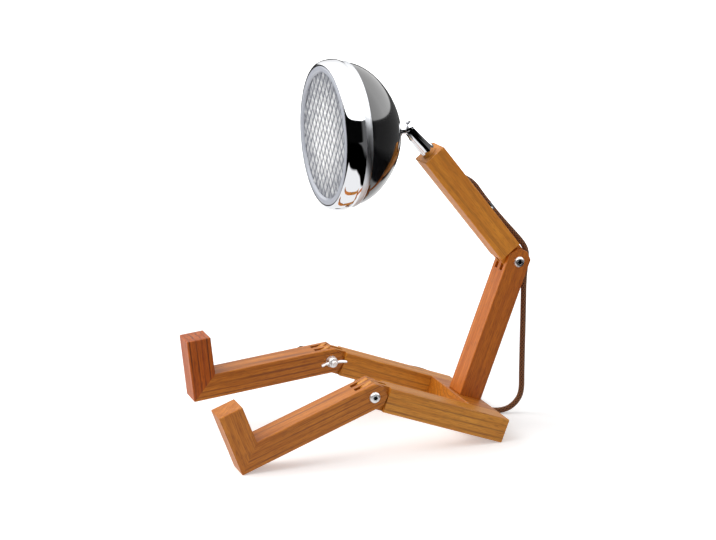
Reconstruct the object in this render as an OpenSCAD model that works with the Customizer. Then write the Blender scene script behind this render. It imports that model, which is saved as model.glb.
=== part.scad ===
// Desk lamp shaped like a sitting figure, in millimetres, +Z up.
// The figure faces -Y. Its left leg is on +X. The origin is on the table,
// under the middle of the lamp. The back edge of the hip and the left heel
// touch the table, and the right leg is raised.

/* [Timber] */
// Width of every timber, across the figure
timber_w = 24; // [22:1:26]
// Thickness of every timber
timber_t = 21; // [20:1:22]
// Size of the eased edges
ease = 0.6; // [0.3:0.1:1]
// Width over both thighs
hip_w = 130; // [126:2:136]
// Rear end of the thigh to the knee pin
thigh_len = 126; // [110:1:140]
// Knee pin to the heel
shin_len = 125; // [110:1:140]
// Sole of the shin to the tip of the toe
foot_h = 54; // [48:1:60]
// Depth of the seat from its rear edge to the crotch
seat_depth = 29; // [27:1:34]
// Seat to the waist pin
lower_len = 125; // [110:1:130]
// Waist pin to the top end of the torso
upper_len = 126; // [120:1:130]

/* [Pose] */
// Slope of the seat and the thighs
seat_tilt = 20.3; // [16:0.1:24]
// Slope of the raised right shin
raised_slope = 5.9; // [2:0.1:14]
// Forward lean of the upper torso
lean = 38.75; // [30:0.25:42]

/* [Finger joints] */
// Side play of each tongue
finger_gap = 0.15; // [0.1:0.05:0.25]
// Pin to the shoulder that the fingers stop short of
shoulder = 12; // [11.6:0.1:13]
// Diameter of the clamping bolts
bolt_d = 5; // [5:0.5:5]

/* [Lamp head] */
// Diameter of the chrome bezel
bezel_d = 124.5; // [118:0.5:130]
// Diameter of the glass
lens_d = 114; // [108:0.5:116]
// Diameter of the black shell at its rim
shell_d = 117.5; // [112:0.5:120]
// Length of the black shell
shell_l = 43.2; // [40:0.2:48]
// Swivel ball to the front of the glass
head_reach = 78; // [76:0.5:84]

/* [Neck] */
// Outer diameter of the neck tube
neck_d = 13; // [13:0.5:14]
// Length of the neck tube
neck_len = 29; // [28:0.5:32]
// Diameter of the swivel ball
ball_d = 10; // [10:0.5:10]
// Diameter of the stud on the ball
stud_d = 7; // [6:0.5:7]

/* [Cord] */
// Diameter of the textile cord
cord_d = 5; // [4.6:0.1:5]
// Radius of the stored coil's outermost turn
coil_r = 37; // [34:0.5:38]
// Turns in the stored coil
coil_turns = 7.15; // [5.15:1:7.15]

/* [Hidden] */
$fn = 48;

// Timber: half its thickness, a fifth of its width, and the end's corner
half = timber_t / 2;
finger_w = timber_w / 5;
end_corner = half * tan(22.5);
leg_x = (hip_w - timber_w) / 2;
bore_r = bolt_d / 2 + 0.05;
tongue_bore_r = bolt_d / 2 + 0.1;

// Pins, as [y, z] before the lamp is set on its origin
function along(tilt, d) = [-d * sin(tilt), d * cos(tilt)];
thigh_angle = 90 - seat_tilt;
seat_face = timber_t;
torso_foot = 14;
thigh_start = along(-seat_tilt, half);
knee = thigh_start + along(thigh_angle, thigh_len);
waist = along(thigh_angle, torso_foot) + along(-seat_tilt, seat_face + lower_len);
torso_end = waist + along(lean, upper_len);
ball_rise = 26.5;
ball = torso_end + along(lean, ball_rise);

// The left shin slopes until its heel stands on the table
table_z = ease * sin(seat_tilt);
heel_reach = norm([shin_len - ease, half]);
heel_angle = atan2(half, shin_len - ease);
planted_slope = asin((knee[1] - table_z) / heel_reach) - heel_angle;

// The lamp's middle, front to back, between the left toe and the waist
toe_y = knee[0] - (shin_len * cos(planted_slope) + (foot_h - half - ease) * sin(planted_slope));
back_y = waist[0] + half * cos(seat_tilt) + end_corner * sin(seat_tilt);
middle_y = (toe_y + back_y) / 2;

// Fasteners
washer_t = 1;
nut_h = 5.5;
bolt_reach = timber_w + washer_t + nut_h + 2;

// Lamp head, as distances in front of the ball
bezel_wide = head_reach - 12;
bezel_back = head_reach - 16;
shell_rim = head_reach - 22.5;
shell_wall = 1.2;
shell_power = 2 / 1.7;
collar_front = shell_rim - shell_l - 0.05;

// Neck, as heights above the end of the torso
slot_w = stud_d + 0.4;
slot_low = 22.7;
tube_r = neck_d / 2;
cavity_r = ball_d / 2 + 0.4;
nipple_r = 5;
nipple_top = 12;
seat_low = 13;
seat_top = 22;
skirt_h = 1.4;
dome_h = 4.8;

// Cord: the parts on the torso's back are [x, height above the wood, distance
// below the torso's end], and the rest are [x, y, z] on the table
cord_r = cord_d / 2;
floor_z = cord_r + 0.1;
exit_at = 38.5;
back_route = [[0, -4.9, 26.5], [0, -2.4, 32.5], [0, 0, exit_at], [0, 2, 44], [0, 3, 50],
    [0, 2.9, 56], [0, 2.6, 64], [0, 2.6, 74], [0, 2.6, 81], [-0.3, 3, 90], [-0.9, 3.6, 99],
    [-1.5, 4.2, 107]];
waist_route = [[-1.5, 4.2, 107], [-1.95, 4.65, 113], [-2.4, 4.95, 118.5]];
waist_bend = [[-2.8, 146.6, 153.6], [-3, 148.6, 150.4], [-3, 150.1, 145.7], [-3, 150.3, 140.7],
    [-3, 149.9, 135.5], [-3, 149.4, 130]];
drop_route = [[-3, 149.4, 130], [-3, 148.9, 124.5], [-3, 148.6, 116], [-3, 148.6, 105],
    [-3, 148.6, 93], [-3, 148.6, 80], [-3, 148.5, 66], [-3, 148.5, 51], [-3, 148.5, 37],
    [-3, 148.5, 22.9], [-3.3, 146.6, 14.3], [-4.3, 141.4, 7.4], [-5.4, 135.4, 3.8],
    [-6.7, 128.5, 2.6], [-9.1, 122.2, 2.8], [-13.4, 117.2, 3.4], [-19.2, 114, 4.4],
    [-25.4, 113, 5.4], [-28.6, 113, 5.8], [-32, 113, 5.8]];
run_start = [[-80, 113, 5.8], [-82.5, 113, 5.8], [-88, 112.05, 5.1], [-93.5, 109.3, 4.2],
             [-97.8, 106.9, 3.4]];
coil_lift = 0.6;
coil_z = cord_r + coil_lift;
coil_centre = [-106, 68];
coil_start = 97;
coil_pitch = cord_d + 0.45;
coil_steps = 24;
tail_end = [[-145.2, 74, 8.2], [-149.5, 67.8, 7.4], [-155, 60.9, 6.9], [-160.6, 54.4, 6.9],
    [-164.9, 50, 7]];

// Switch on the cord, and the plug at its end
switch_at = [-56, 113];
switch_l = 52;
switch_w = 17;
switch_h = 11.5;
rocker_at = 8.6;
plug_at = [-196, 18.9];
plug_turn = 225;
plug_z = 7;
relief_l = 22;
pin_gap = 18.6;

// Sets the lamp on its origin
module placed() {
    translate([0, -middle_y, -table_z]) children();
}

// A limb's own frame: it runs along +Z from a pin, with its back on +Y
module limb(x, pin, tilt) {
    placed() translate([x, pin[0], pin[1]]) rotate([tilt, 0, 0]) children();
}

module on_thigh(side) {
    limb(side * leg_x, thigh_start, thigh_angle) children();
}

module on_shin(side) {
    slope = side > 0 ? planted_slope : raised_slope;
    limb(side * leg_x, knee, 90 + slope) children();
}

module on_lower_torso() {
    limb(0, waist, -seat_tilt) translate([0, 0, -lower_len]) children();
}

module on_upper_torso() {
    limb(0, waist, lean) children();
}

module on_neck() {
    limb(0, torso_end, lean) children();
}

// The head's frame: +Z points forward out of the ball
module on_head() {
    limb(0, ball, 90) children();
}

// A bolt's frame: the head's side is +Z and z = 0 is the outer cheek
module on_bolt(side, x, pin) {
    placed() translate([x, pin[0], pin[1]]) rotate([0, 90 * side, 0]) children();
}

// Outlines with eased corners
function eased(low, high, c = ease) = [
    [low[0] + c, low[1]], [high[0] - c, low[1]], [high[0], low[1] + c],
    [high[0], high[1] - c], [high[0] - c, high[1]], [low[0] + c, high[1]],
    [low[0], high[1] - c], [low[0], low[1] + c]];

// Half an octagon round a pin at z, past it for way 1 and before it for -1
function knuckle(z, way) = [
    [half * way, z + end_corner * way], [end_corner * way, z + half * way],
    [-end_corner * way, z + half * way], [-half * way, z + end_corner * way]];

// Extrudes a side outline, drawn as [y, z], across the figure
module across(w) {
    rotate([90, 0, 90]) linear_extrude(w, center = true) children();
}

// Extrudes a back outline, drawn as [x, z], from front to back
module front_to_back(t) {
    rotate([90, 0, 0]) linear_extrude(t, center = true) children();
}

// A length of timber with this side outline and its long edges eased
module timber(outline, z0, z1) {
    intersection() {
        across(timber_w + 2) polygon(outline);
        translate([0, 0, z0]) linear_extrude(z1 - z0)
            polygon(eased([-timber_w, -timber_t] / 2, [timber_w, timber_t] / 2));
    }
}

// Spaces between fingers, numbered 0 to 4 across the timber
module finger_slots(numbers, w, z0, z1) {
    for (i = numbers)
        translate([(i - 2) * finger_w - w / 2, -timber_t, z0])
            cube([w, 2 * timber_t, z1 - z0]);
}

// Takes the two inner slots out of a pinned end that carries the cheeks
module cheek_slots(z, way) {
    low = way > 0 ? z - shoulder : z - timber_t;
    finger_slots([1, 3], finger_w, low, low + shoulder + timber_t);
}

// Leaves two tongues on a pinned end
module tongue_slots(z, way) {
    low = way > 0 ? z - shoulder : z - timber_t;
    finger_slots([0, 2, 4], finger_w + 2 * finger_gap, low, low + shoulder + timber_t);
}

module pin_bore(r, z) {
    translate([0, 0, z]) rotate([0, 90, 0]) cylinder(r = r, h = timber_w + 2, center = true);
}

// Dowels that hold the seat block between the thighs
dowel_r = 3;
dowel_l = 30;
module dowels(r, l) {
    for (side = [-1, 1], z = [9, 20])
        translate([side * (hip_w / 2 - timber_w), 0, z]) rotate([0, 90, 0])
            cylinder(r = r, h = l, center = true);
}

module thigh(side) {
    color("#b2733c") difference() {
        on_thigh(side) timber(concat([[-half + ease, 0], [half - ease, 0], [half, ease]],
            knuckle(thigh_len, 1), [[-half, ease]]), 0, thigh_len + half);
        on_thigh(side) tongue_slots(thigh_len, 1);
        on_thigh(side) pin_bore(tongue_bore_r, thigh_len);
        limb(0, thigh_start, thigh_angle) dowels(dowel_r + 0.02, dowel_l + 1);
    }
}

module seat_block() {
    block_w = hip_w - 2 * timber_w;
    color("#c08048") limb(0, thigh_start, thigh_angle) difference() {
        across(block_w) polygon(eased([-half, 0], [half, seat_depth]));
        dowels(dowel_r + 0.02, dowel_l + 1);
        torso_screw_holes();
    }
}

module seat_dowels() {
    color("#d8b98a") limb(0, thigh_start, thigh_angle) dowels(dowel_r, dowel_l);
}

// Two countersunk screws rise from under the seat into the torso
screw_r = 2;
screw_l = 50;
screw_x = 5.5;
module torso_screw_pair(extra) {
    for (side = [-1, 1])
        translate([side * screw_x, -half, torso_foot]) rotate([-90, 0, 0])
            rotate_extrude() polygon([[0, 0.4 - extra * 10], [4 + extra, 0.4 - extra * 10],
                [4 + extra, 0.4], [screw_r + extra, 2.6], [screw_r + extra, screw_l - 3 + extra],
                [0.4, screw_l + extra], [0, screw_l + extra]]);
}

module torso_screw_holes() {
    torso_screw_pair(0.06);
}

module torso_screws() {
    color("#b9b9bd") limb(0, thigh_start, thigh_angle) difference() {
        torso_screw_pair(0);
        for (side = [-1, 1], turn = [0, 90])
            translate([side * screw_x, -half, torso_foot]) rotate([-90, 0, 0])
                rotate([0, 0, turn]) translate([-2, -0.4, 0]) cube([4, 0.8, 1.6]);
    }
}

module lower_torso() {
    color("#b26c30") difference() {
        on_lower_torso() difference() {
            timber(concat([[-half + ease, 0], [half - ease, 0], [half, ease]],
                knuckle(lower_len, 1), [[-half, ease]]), 0, lower_len + half);
            cheek_slots(lower_len, 1);
            pin_bore(bore_r, lower_len);
        }
        limb(0, thigh_start, thigh_angle) torso_screw_holes();
    }
}

// The cord comes down the middle of the torso's end and out of its back
cord_bore_r = 3.5;
nipple_low = -15;
exit_slope = atan2(half, exit_at - 12);
module cord_way() {
    translate([0, 0, upper_len + nipple_low - 6]) cylinder(r = cord_bore_r, h = 8);
    translate([0, 0, upper_len + nipple_low]) cylinder(r = nipple_r + 0.05, h = 20);
    translate([0, 0, upper_len - 12]) rotate([180 + exit_slope, 0, 0])
        translate([0, 0, 4]) cylinder(r = 3.2, h = 34);
}

module upper_torso() {
    color("#b5702c") on_upper_torso() difference() {
        intersection() {
            timber(concat(knuckle(0, -1), [[half, upper_len - ease],
                [half - ease, upper_len], [-half + ease, upper_len],
                [-half, upper_len - ease]]), -half, upper_len);
            front_to_back(timber_t + 2) polygon(eased([-timber_w / 2, -timber_t],
                [timber_w / 2, upper_len]));
        }
        tongue_slots(0, -1);
        pin_bore(tongue_bore_r, 0);
        cord_way();
        clip_screw_pair(0.05);
    }
}

// Shin and foot meet on a mitre that runs from the instep to the heel
module shin(side) {
    color("#a6642f") on_shin(side) difference() {
        timber(concat(knuckle(0, -1), [[half, shin_len - timber_t],
            [-half + ease / 2, shin_len - ease / 2],
            [-half, shin_len - ease]]), -half, shin_len);
        cheek_slots(0, -1);
        pin_bore(bore_r, 0);
    }
}

module foot(side) {
    toe = foot_h - half;
    color("#a05a2d") on_shin(side) intersection() {
        across(timber_w + 2) polygon([[half, shin_len - timber_t],
            [toe - ease, shin_len - timber_t], [toe, shin_len - timber_t + ease],
            [toe, shin_len - ease], [toe - ease, shin_len], [-half + ease, shin_len],
            [-half + ease / 2, shin_len - ease / 2]]);
        front_to_back(4 * foot_h) polygon(eased([-timber_w / 2, shin_len - timber_t],
            [timber_w / 2, shin_len]));
        translate([0, 0, shin_len - 2 * timber_t]) linear_extrude(3 * timber_t)
            polygon(eased([-timber_w / 2, -timber_t], [timber_w / 2, toe]));
    }
}

// Button-head bolt with a hexagon socket
head_r = 4.75;
head_h = 2.75;
module bolt() {
    r = bolt_d / 2;
    dome = [for (t = [0:15:90]) [2.2 + (head_r - 2.2) * cos(t), 0.6 + (head_h - 0.6) * sin(t)]];
    color("#d9dadc") difference() {
        rotate_extrude() polygon(concat([[0, -bolt_reach], [r - 0.6, -bolt_reach],
            [r, -bolt_reach + 0.6], [r, 0], [head_r, 0]], dome, [[0, head_h]]));
        translate([0, 0, 1]) cylinder(r = 1.5 / cos(30), h = head_h, $fn = 6);
    }
}

module washer() {
    color("#cfd0d2") translate([0, 0, -timber_w - washer_t]) difference() {
        cylinder(r = 5, h = washer_t);
        translate([0, 0, -1]) cylinder(r = bolt_d / 2 + 0.2, h = washer_t + 2);
    }
}

// Wing nut: a coned hub and two ears that lean away from the washer
ear_at = [9.1, 7.3];
ear_r = 2.9;
module wing_nut(turn) {
    tip = [ear_at[0] + ear_r * cos(-50), ear_at[1] + ear_r * sin(-50)];
    inner = [ear_at[0] + ear_r * cos(130), ear_at[1] + ear_r * sin(130)];
    color("#c9cacd") translate([0, 0, -timber_w - washer_t]) rotate([180, 0, turn])
        difference() {
            union() {
                cylinder(r1 = 4.75, r2 = 4, h = nut_h);
                for (way = [0, 180])
                    rotate([90, 0, way]) linear_extrude(2.2, center = true) {
                        translate(ear_at) circle(r = ear_r);
                        polygon([[3.2, 0.5], tip, inner, [3.2, 5.2]]);
                    }
            }
            translate([0, 0, -1]) cylinder(r = bore_r, h = nut_h + 2);
        }
}

// Neck: a threaded nipple in the torso, and a tube with a slot for the stud
module neck_nipple() {
    color("#c8b070") on_neck() translate([0, 0, nipple_low + 0.1]) difference() {
        cylinder(r = nipple_r, h = nipple_top - nipple_low);
        translate([0, 0, -1]) cylinder(r = cord_bore_r, h = 40);
    }
}

module stud_slot(top) {
    translate([0, 0, slot_low]) rotate([90, 0, 0]) cylinder(r = slot_w / 2, h = neck_d);
    translate([-slot_w / 2, -neck_d, slot_low]) cube([slot_w, neck_d, top]);
}

module neck_tube() {
    color("#e4e5e8") on_neck() difference() {
        rotate_extrude() polygon([[nipple_r + 0.05, 0.2], [tube_r - 0.4, 0.2], [tube_r, 0.6],
            [tube_r, neck_len - 0.3], [tube_r - 0.3, neck_len], [tube_r - 0.55, neck_len],
            [tube_r - 0.55, neck_len - skirt_h], [cavity_r, neck_len - skirt_h],
            [cavity_r, seat_low], [nipple_r + 0.05, seat_low]]);
        stud_slot(neck_d);
    }
}

module neck_cap() {
    skirt = [[cavity_r, neck_len - skirt_h], [tube_r - 0.6, neck_len - skirt_h],
        [tube_r - 0.6, neck_len], [tube_r - 0.3, neck_len], [tube_r, neck_len + 0.3]];
    dome = [for (t = [6:12:90]) [tube_r * cos(t), neck_len + dome_h * sin(t)]];
    color("#e4e5e8") on_neck() difference() {
        rotate_extrude() polygon(concat(skirt, dome, [[0, neck_len + dome_h],
            [0, neck_len - skirt_h]]));
        translate([0, 0, ball_rise]) sphere(r = ball_d / 2 + 0.1);
        stud_slot(neck_d);
        translate([0, 0, ball_rise]) cylinder(r = slot_w / 2, h = neck_d);
    }
}

module ball_seat() {
    color("#b89a50") on_neck() difference() {
        translate([0, 0, seat_low]) cylinder(r = cavity_r - 0.05, h = seat_top - seat_low);
        translate([0, 0, seat_low - 1]) cylinder(r = 2.6, h = 20);
        translate([0, 0, ball_rise]) sphere(r = ball_d / 2 + 0.05);
    }
}

thread_r = 3;
module swivel_ball() {
    color("#dcdde0") on_head() difference() {
        union() {
            sphere(r = ball_d / 2);
            rotate_extrude() polygon([[0, 0], [stud_d / 2, 0], [stud_d / 2, collar_front],
                [thread_r, collar_front], [thread_r, collar_front + 5], [0, collar_front + 5]]);
        }
        cylinder(r = 2.2, h = 40);
        rotate([90 + lean, 0, 0]) cylinder(r = 1.9, h = ball_d);
    }
}

module stud_collar() {
    color("#e4e5e8") on_head() difference() {
        rotate_extrude() polygon([[stud_d / 2 + 0.02, 9.4], [4.7, 9.4], [5.2, 9.9],
            [5.2, collar_front], [stud_d / 2 + 0.02, collar_front]]);
    }
}

module shell_nut() {
    color("#c9cacd") on_head() translate([0, 0, collar_front + 1.9]) difference() {
        cylinder(r = 5 / cos(30), h = 3, $fn = 6);
        translate([0, 0, -1]) cylinder(r = thread_r + 0.02, h = 6);
    }
}

// The black shell's bowl, from its rim at t = 0 to its back at t = 90
function bowl(r, l) = [for (t = [0:3:90])
    [r * pow(cos(t), shell_power), shell_rim - l * pow(sin(t), shell_power)]];
function reversed(list) = [for (i = [len(list) - 1:-1:0]) list[i]];

spigot_r = shell_d / 2 - 0.9;
spigot_front = shell_rim + 12.5;
screw_front = head_reach - 13;
module head_shell() {
    inside = bowl(shell_d / 2 - shell_wall, shell_l - shell_wall);
    color("#17181a") on_head() difference() {
        rotate_extrude($fn = 96) polygon(concat(reversed(bowl(shell_d / 2, shell_l)),
            [[spigot_r, shell_rim], [spigot_r, spigot_front],
            [spigot_r - shell_wall, spigot_front]], inside));
        translate([0, 0, 5]) cylinder(r = thread_r + 0.1, h = 20);
        bezel_screw_way(1.05);
    }
}

module bezel_screw_way(r) {
    translate([0, 0, screw_front]) rotate([90, 0, 0]) translate([0, 0, 50]) cylinder(r = r, h = 30);
}

// Chrome bezel: a rounded front, and a seat that the glass drops into
module bezel() {
    lip = lens_d / 2 + 0.8;
    seat = head_reach - 4;
    round_front = [for (t = [0:9:90]) [lip + (bezel_d / 2 - lip) * sin(t),
        bezel_wide + (head_reach - 0.4 - bezel_wide) * cos(t)]];
    color("#e8e9ec") on_head() difference() {
        rotate_extrude($fn = 96) polygon(concat(round_front,
            [[bezel_d / 2 - 0.3, bezel_wide - 2], [bezel_d / 2 - 1.2, bezel_back],
            [bezel_d / 2 - 2.4, bezel_back], [bezel_d / 2 - 1.3, bezel_wide],
            [lip + 2.2, head_reach - 8], [lip + 0.8, seat - 1.2], [lens_d / 2 - 3, seat - 1.2],
            [lens_d / 2 - 3, seat], [lip, seat]]));
        bezel_screw_way(1.1);
        translate([0, -bezel_d / 2 + 0.5, screw_front]) rotate([90, 0, 0])
            cylinder(r = 2.5, h = 4);
    }
}

module bezel_bead() {
    r = bezel_d / 2 - 1.9;
    front = bezel_back - 0.1;
    back = shell_rim + 0.3;
    color("#c4c6ca") on_head() rotate_extrude($fn = 96) polygon([[spigot_r + 0.05, back],
        [shell_d / 2 + 0.3, back], [r - 0.5, back + 0.3], [r, back + 1.2], [r, front - 0.9],
        [r - 0.6, front], [spigot_r + 0.05, front]]);
}

module bezel_screw() {
    color("#d9dadc") on_head() translate([0, 0, screw_front]) rotate([90, 0, 0])
        difference() {
            translate([0, 0, 55]) rotate_extrude() polygon([[0, 0], [1, 0], [1, 6.9],
                [2.3, 6.9], [2.3, 7.6], [1.6, 8.3], [0, 8.3]]);
            translate([-2.5, -0.3, 62.6]) cube([5, 0.6, 2]);
        }
}

module lens_gasket() {
    color("#101010") on_head() rotate_extrude($fn = 96) polygon([
        [lens_d / 2 + 0.05, head_reach - 3.95], [lens_d / 2 + 0.75, head_reach - 3.95],
        [lens_d / 2 + 0.75, head_reach - 0.7], [lens_d / 2 + 0.05, head_reach - 0.7]]);
}

// Moulded glass: a thick flange round a shallow dished window
window_r = lens_d / 2 - 5.6;
module lens() {
    r = lens_d / 2;
    window = [for (i = [0:8]) [window_r * i / 8, head_reach - 0.5 - 1.4 * pow(i / 8, 2)]];
    color("#dfe3ea", 0.6) on_head() rotate_extrude($fn = 96) polygon(concat(window,
        [[window_r + 0.9, head_reach - 0.4], [window_r + 1.7, head_reach], [r - 1, head_reach],
        [r - 0.3, head_reach - 0.3], [r, head_reach - 1], [r, head_reach - 3.95],
        [window_r - 2, head_reach - 3.95], [0, head_reach - 3.2]]));
}

// Parabolic reflector behind the glass, with a hole for the lampholder
bowl_low = 30;
focal = 17;
function dish(r, back) = [r, bowl_low - back + r * r / (4 * focal)];
module reflector() {
    inside = [for (r = [14:2.75:52.5]) dish(r, 0)];
    outside = [for (r = [52.5:-2.75:14]) dish(r, 0.9)];
    color("#e6e8ea") on_head() rotate_extrude($fn = 72) polygon(concat(inside,
        [[52.5, 71.7], [lens_d / 2 - 0.6, 71.7], [lens_d / 2 - 0.6, 70.8]], outside));
}

module lampholder() {
    color("#e9e4da") on_head() rotate_extrude() polygon([[0, 17.6], [11, 17.6], [13.2, 19.8],
        [13.2, 29.6], [15.4, 29.6], [15.4, 31.4], [13.6, 31.4], [13.6, 34.6], [15, 34.6],
        [15, 35.8], [7.2, 35.8], [7.2, 23], [2.2, 23], [2.2, 21], [0, 21]]);
}

// Bulb: a hollow globe whose neck stands on its metal base
base_front = 37;
globe_r = 16.5;
globe_at = 53;
function globe(r, neck) = concat([[neck, base_front]],
    [for (t = [-62:8:90]) [r * cos(t), globe_at + r * sin(t)]]);
module bulb_base() {
    color("#c8a860") on_head() rotate_extrude() polygon([[0, 21.2], [2, 21.2], [2, 23.1],
        [4.5, 23.3], [7, 23.8], [7, base_front], [5.4, base_front], [5.4, 25], [0, 25]]);
}

module bulb_glass() {
    color("#f4efe2") on_head() rotate_extrude() polygon(concat(globe(globe_r, 6.8),
        reversed(globe(globe_r - 0.9, 5.9))));
}

// The flex from the ball to the lampholder
module head_lead() {
    color("#3a3a3c") on_head() translate([0, 0, 4]) cylinder(r = 1.8, h = 13.5);
}

// Saddle clip that holds the cord on the torso's back
clip_z = upper_len - 74;
clip_w = 6.5;
saddle_y = half + cord_r + 0.1;
clip_screw_x = 6;
module cable_clip() {
    wall = cord_r + 0.7;
    gap = cord_r + 0.1;
    color("#8a8c90") on_upper_torso() translate([0, 0, clip_z - clip_w / 2]) difference() {
        linear_extrude(clip_w) difference() {
            union() {
                translate([0, saddle_y]) circle(r = wall);
                translate([-wall, half]) square([2 * wall, saddle_y - half]);
                translate([-8.5, half]) square([17, 0.9]);
            }
            translate([0, saddle_y]) circle(r = gap);
            translate([-gap, half - 1]) square([2 * gap, saddle_y - half + 1]);
        }
        translate([0, 0, clip_w / 2 - clip_z]) clip_screw_pair(0.05);
    }
}

module clip_screw_pair(extra) {
    for (side = [-1, 1])
        translate([side * clip_screw_x, half - 7, clip_z]) rotate([-90, 0, 0])
            cylinder(r = 0.9 + extra, h = 8);
}

module clip_screws() {
    color("#d9dadc") on_upper_torso() {
        clip_screw_pair(0);
        for (side = [-1, 1])
            translate([side * clip_screw_x, half + 0.92, clip_z]) rotate([-90, 0, 0])
                rotate_extrude() polygon([[0, 0], [1.7, 0], [1.5, 0.5], [0.9, 0.8], [0, 0.8]]);
    }
}

// A tube swept along points: one ring at each, square to the way it runs
function unit(v) = v / norm(v);
function headings(p) = [for (i = [0:len(p) - 1])
    unit(p[min(i + 1, len(p) - 1)] - p[max(i - 1, 0)])];
function sides_of(t, n, i = 0) = i == len(t) ? [] :
    let (m = unit(n - (n * t[i]) * t[i])) concat([m], sides_of(t, m, i + 1));

module cord_tube(p, sides, first) {
    t = headings(p);
    n = sides_of(t, first);
    rings = [for (i = [0:len(p) - 1], k = [0:sides - 1])
        let (a = 360 * k / sides)
        p[i] + cord_r * (cos(a) * n[i] + sin(a) * cross(t[i], n[i]))];
    walls = [for (i = [0:len(p) - 2], k = [0:sides - 1], half_face = [0, 1])
        let (a = i * sides + k, b = i * sides + (k + 1) % sides)
        half_face == 0 ? [a, a + sides, b] : [b, a + sides, b + sides]];
    last = len(rings) - sides;
    ends = concat([for (k = [1:sides - 2]) [0, k, k + 1]],
        [for (k = [1:sides - 2]) [last, last + k + 1, last + k]]);
    color("#4a2a18") polyhedron(points = rings, faces = concat(walls, ends));
}

// Points on the torso's back, from [x, height above the wood, distance below the end]
function on_back(route) = [for (p = route)
    let (at = waist + along(lean, upper_len - p[2]) + along(lean - 90, half + p[1]))
    [p[0], at[0] - middle_y, at[1] - table_z]];

module cord_back() {
    cord_tube(on_back(back_route), 8, [1, 0, 0]);
}

module cord_waist() {
    cord_tube(concat(on_back(waist_route), waist_bend), 8, [1, 0, 0]);
}

module cord_drop() {
    cord_tube(drop_route, 8, [1, 0, 0]);
}

// The coil spirals in, climbs a layer over half a turn, and spirals out
reversal = coil_turns / 2;
function climb(t) = t < reversal - 0.25 ? 0 : t > reversal + 0.25 ? 1 :
    (1 - cos(360 * (t - reversal + 0.25))) / 2;
function coil_radius(t) = coil_r - coil_pitch * (t < reversal ? t : coil_turns - t);
function coil_point(t) =
    let (a = coil_start + 360 * t)
    [coil_centre[0] + coil_radius(t) * cos(a), coil_centre[1] + coil_radius(t) * sin(a),
        coil_z + coil_pitch * climb(t)];
function coil_heading(t) = let (a = coil_start + 360 * t) [-sin(a), cos(a), 0];
coil_rings = ceil(coil_turns * coil_steps);
coil_in = coil_point(0) - cord_d * coil_heading(0);
coil_out = coil_point(coil_turns) + cord_d * coil_heading(coil_turns);
coil_route = concat([coil_in], [for (i = [0:coil_rings]) coil_point(coil_turns * i / coil_rings)],
    [coil_out]);

// Least distance between points at least half a turn apart, less the cord
coil_gap = min([for (i = [1:coil_rings - coil_steps / 2])
    min([for (j = [i + coil_steps / 2:coil_rings + 1]) norm(coil_route[i] - coil_route[j])])])
    - cord_d;
echo(coil_gap = coil_gap);

module cord_coil() {
    cord_tube(coil_route, 6, [0, 0, 1]);
}

module cord_run() {
    cord_tube(concat(run_start, [coil_in - 3 * coil_heading(0), coil_in]), 8, [0, 0, 1]);
}

module cord_tail() {
    cord_tube(concat([coil_out, coil_out + 3 * coil_heading(coil_turns)], tail_end,
        [plug_mouth()]), 8, [0, 0, 1]);
}

// A strap round both layers of the coil
module coil_tie() {
    inner_r = coil_radius(reversal) - cord_r - 0.7;
    outer_r = coil_r + cord_r + 0.5;
    high = cord_d + coil_pitch + coil_lift + 0.6;
    color("#1c1c1e") translate([coil_centre[0], coil_centre[1], 0]) rotate([0, 0, 330])
        rotate([90, 0, 0]) linear_extrude(5, center = true) difference() {
            polygon(eased([inner_r - 0.8, 0], [outer_r + 0.8, high + 0.8], 1));
            polygon(eased([inner_r, 0.5], [outer_r, high], 1));
        }
}

// In-line switch with a rocker
pocket = [15, 8.6];
module switch_body() {
    r = switch_w / 2;
    end = switch_l / 2;
    color("#2a1c14") translate([switch_at[0], switch_at[1], 0]) difference() {
        intersection() {
            linear_extrude(switch_h) {
                square([switch_l - 2 * r, switch_w], center = true);
                for (side = [-1, 1])
                    translate([side * (end - r), 0]) circle(r = r);
            }
            front_to_back(switch_w + 2) polygon([[-end, 0], [end, 0], [end, 8], [end - 2, 9.6],
                [end - 8, switch_h], [8 - end, switch_h], [2 - end, 9.6], [-end, 8]]);
            across(switch_l + 2) polygon(eased([-r, -3], [r, switch_h], 2));
        }
        translate([0, 0, switch_h / 2 + rocker_at - 3.3])
            cube([pocket[0], pocket[1], switch_h], center = true);
        translate([0, 0, rocker_at]) rotate([90, 0, 0]) cylinder(r = 1.05, h = 11, center = true);
        translate([0, 0, 5.8]) rotate([0, 90, 0]) {
            translate([0, 0, end - 2]) cylinder(r = cord_r + 0.06, h = 5);
            translate([0, 0, -end - 3]) cylinder(r = cord_r + 0.06, h = 5);
        }
    }
}

module switch_rocker() {
    color("#15100d") translate([switch_at[0], switch_at[1], rocker_at]) rotate([0, -8, 0]) {
        front_to_back(8) polygon([[-6.8, -2], [6.8, -2], [6.8, 3.4], [0, 2.2], [-6.8, 3.4]]);
        rotate([90, 0, 0]) cylinder(r = 1, h = 10.6, center = true);
    }
}

// Flat two-pin plug, lying on the table
plug_l = 36;
plug_w = 35;
plug_t = 13.7;
module on_plug() {
    translate([plug_at[0], plug_at[1], plug_z]) rotate([0, 0, plug_turn]) children();
}
function plug_mouth() = let (back = plug_l / 2 + relief_l)
    [plug_at[0] - back * cos(plug_turn), plug_at[1] - back * sin(plug_turn), plug_z];

module plug_relief() {
    color("#201712") on_plug() translate([-plug_l / 2 - relief_l, 0, 0]) rotate([0, 90, 0])
        rotate_extrude() polygon(concat([[0, 0]], [for (i = [0:5]) each
            [[3 + i * 0.35, i * 3.6], [3 + i * 0.35, i * 3.6 + 2.2],
            [2.8 + i * 0.35, i * 3.6 + 2.4], [2.8 + i * 0.35, i * 3.6 + 3.6]]],
            [[5.2, relief_l], [0, relief_l]]));
}

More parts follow.
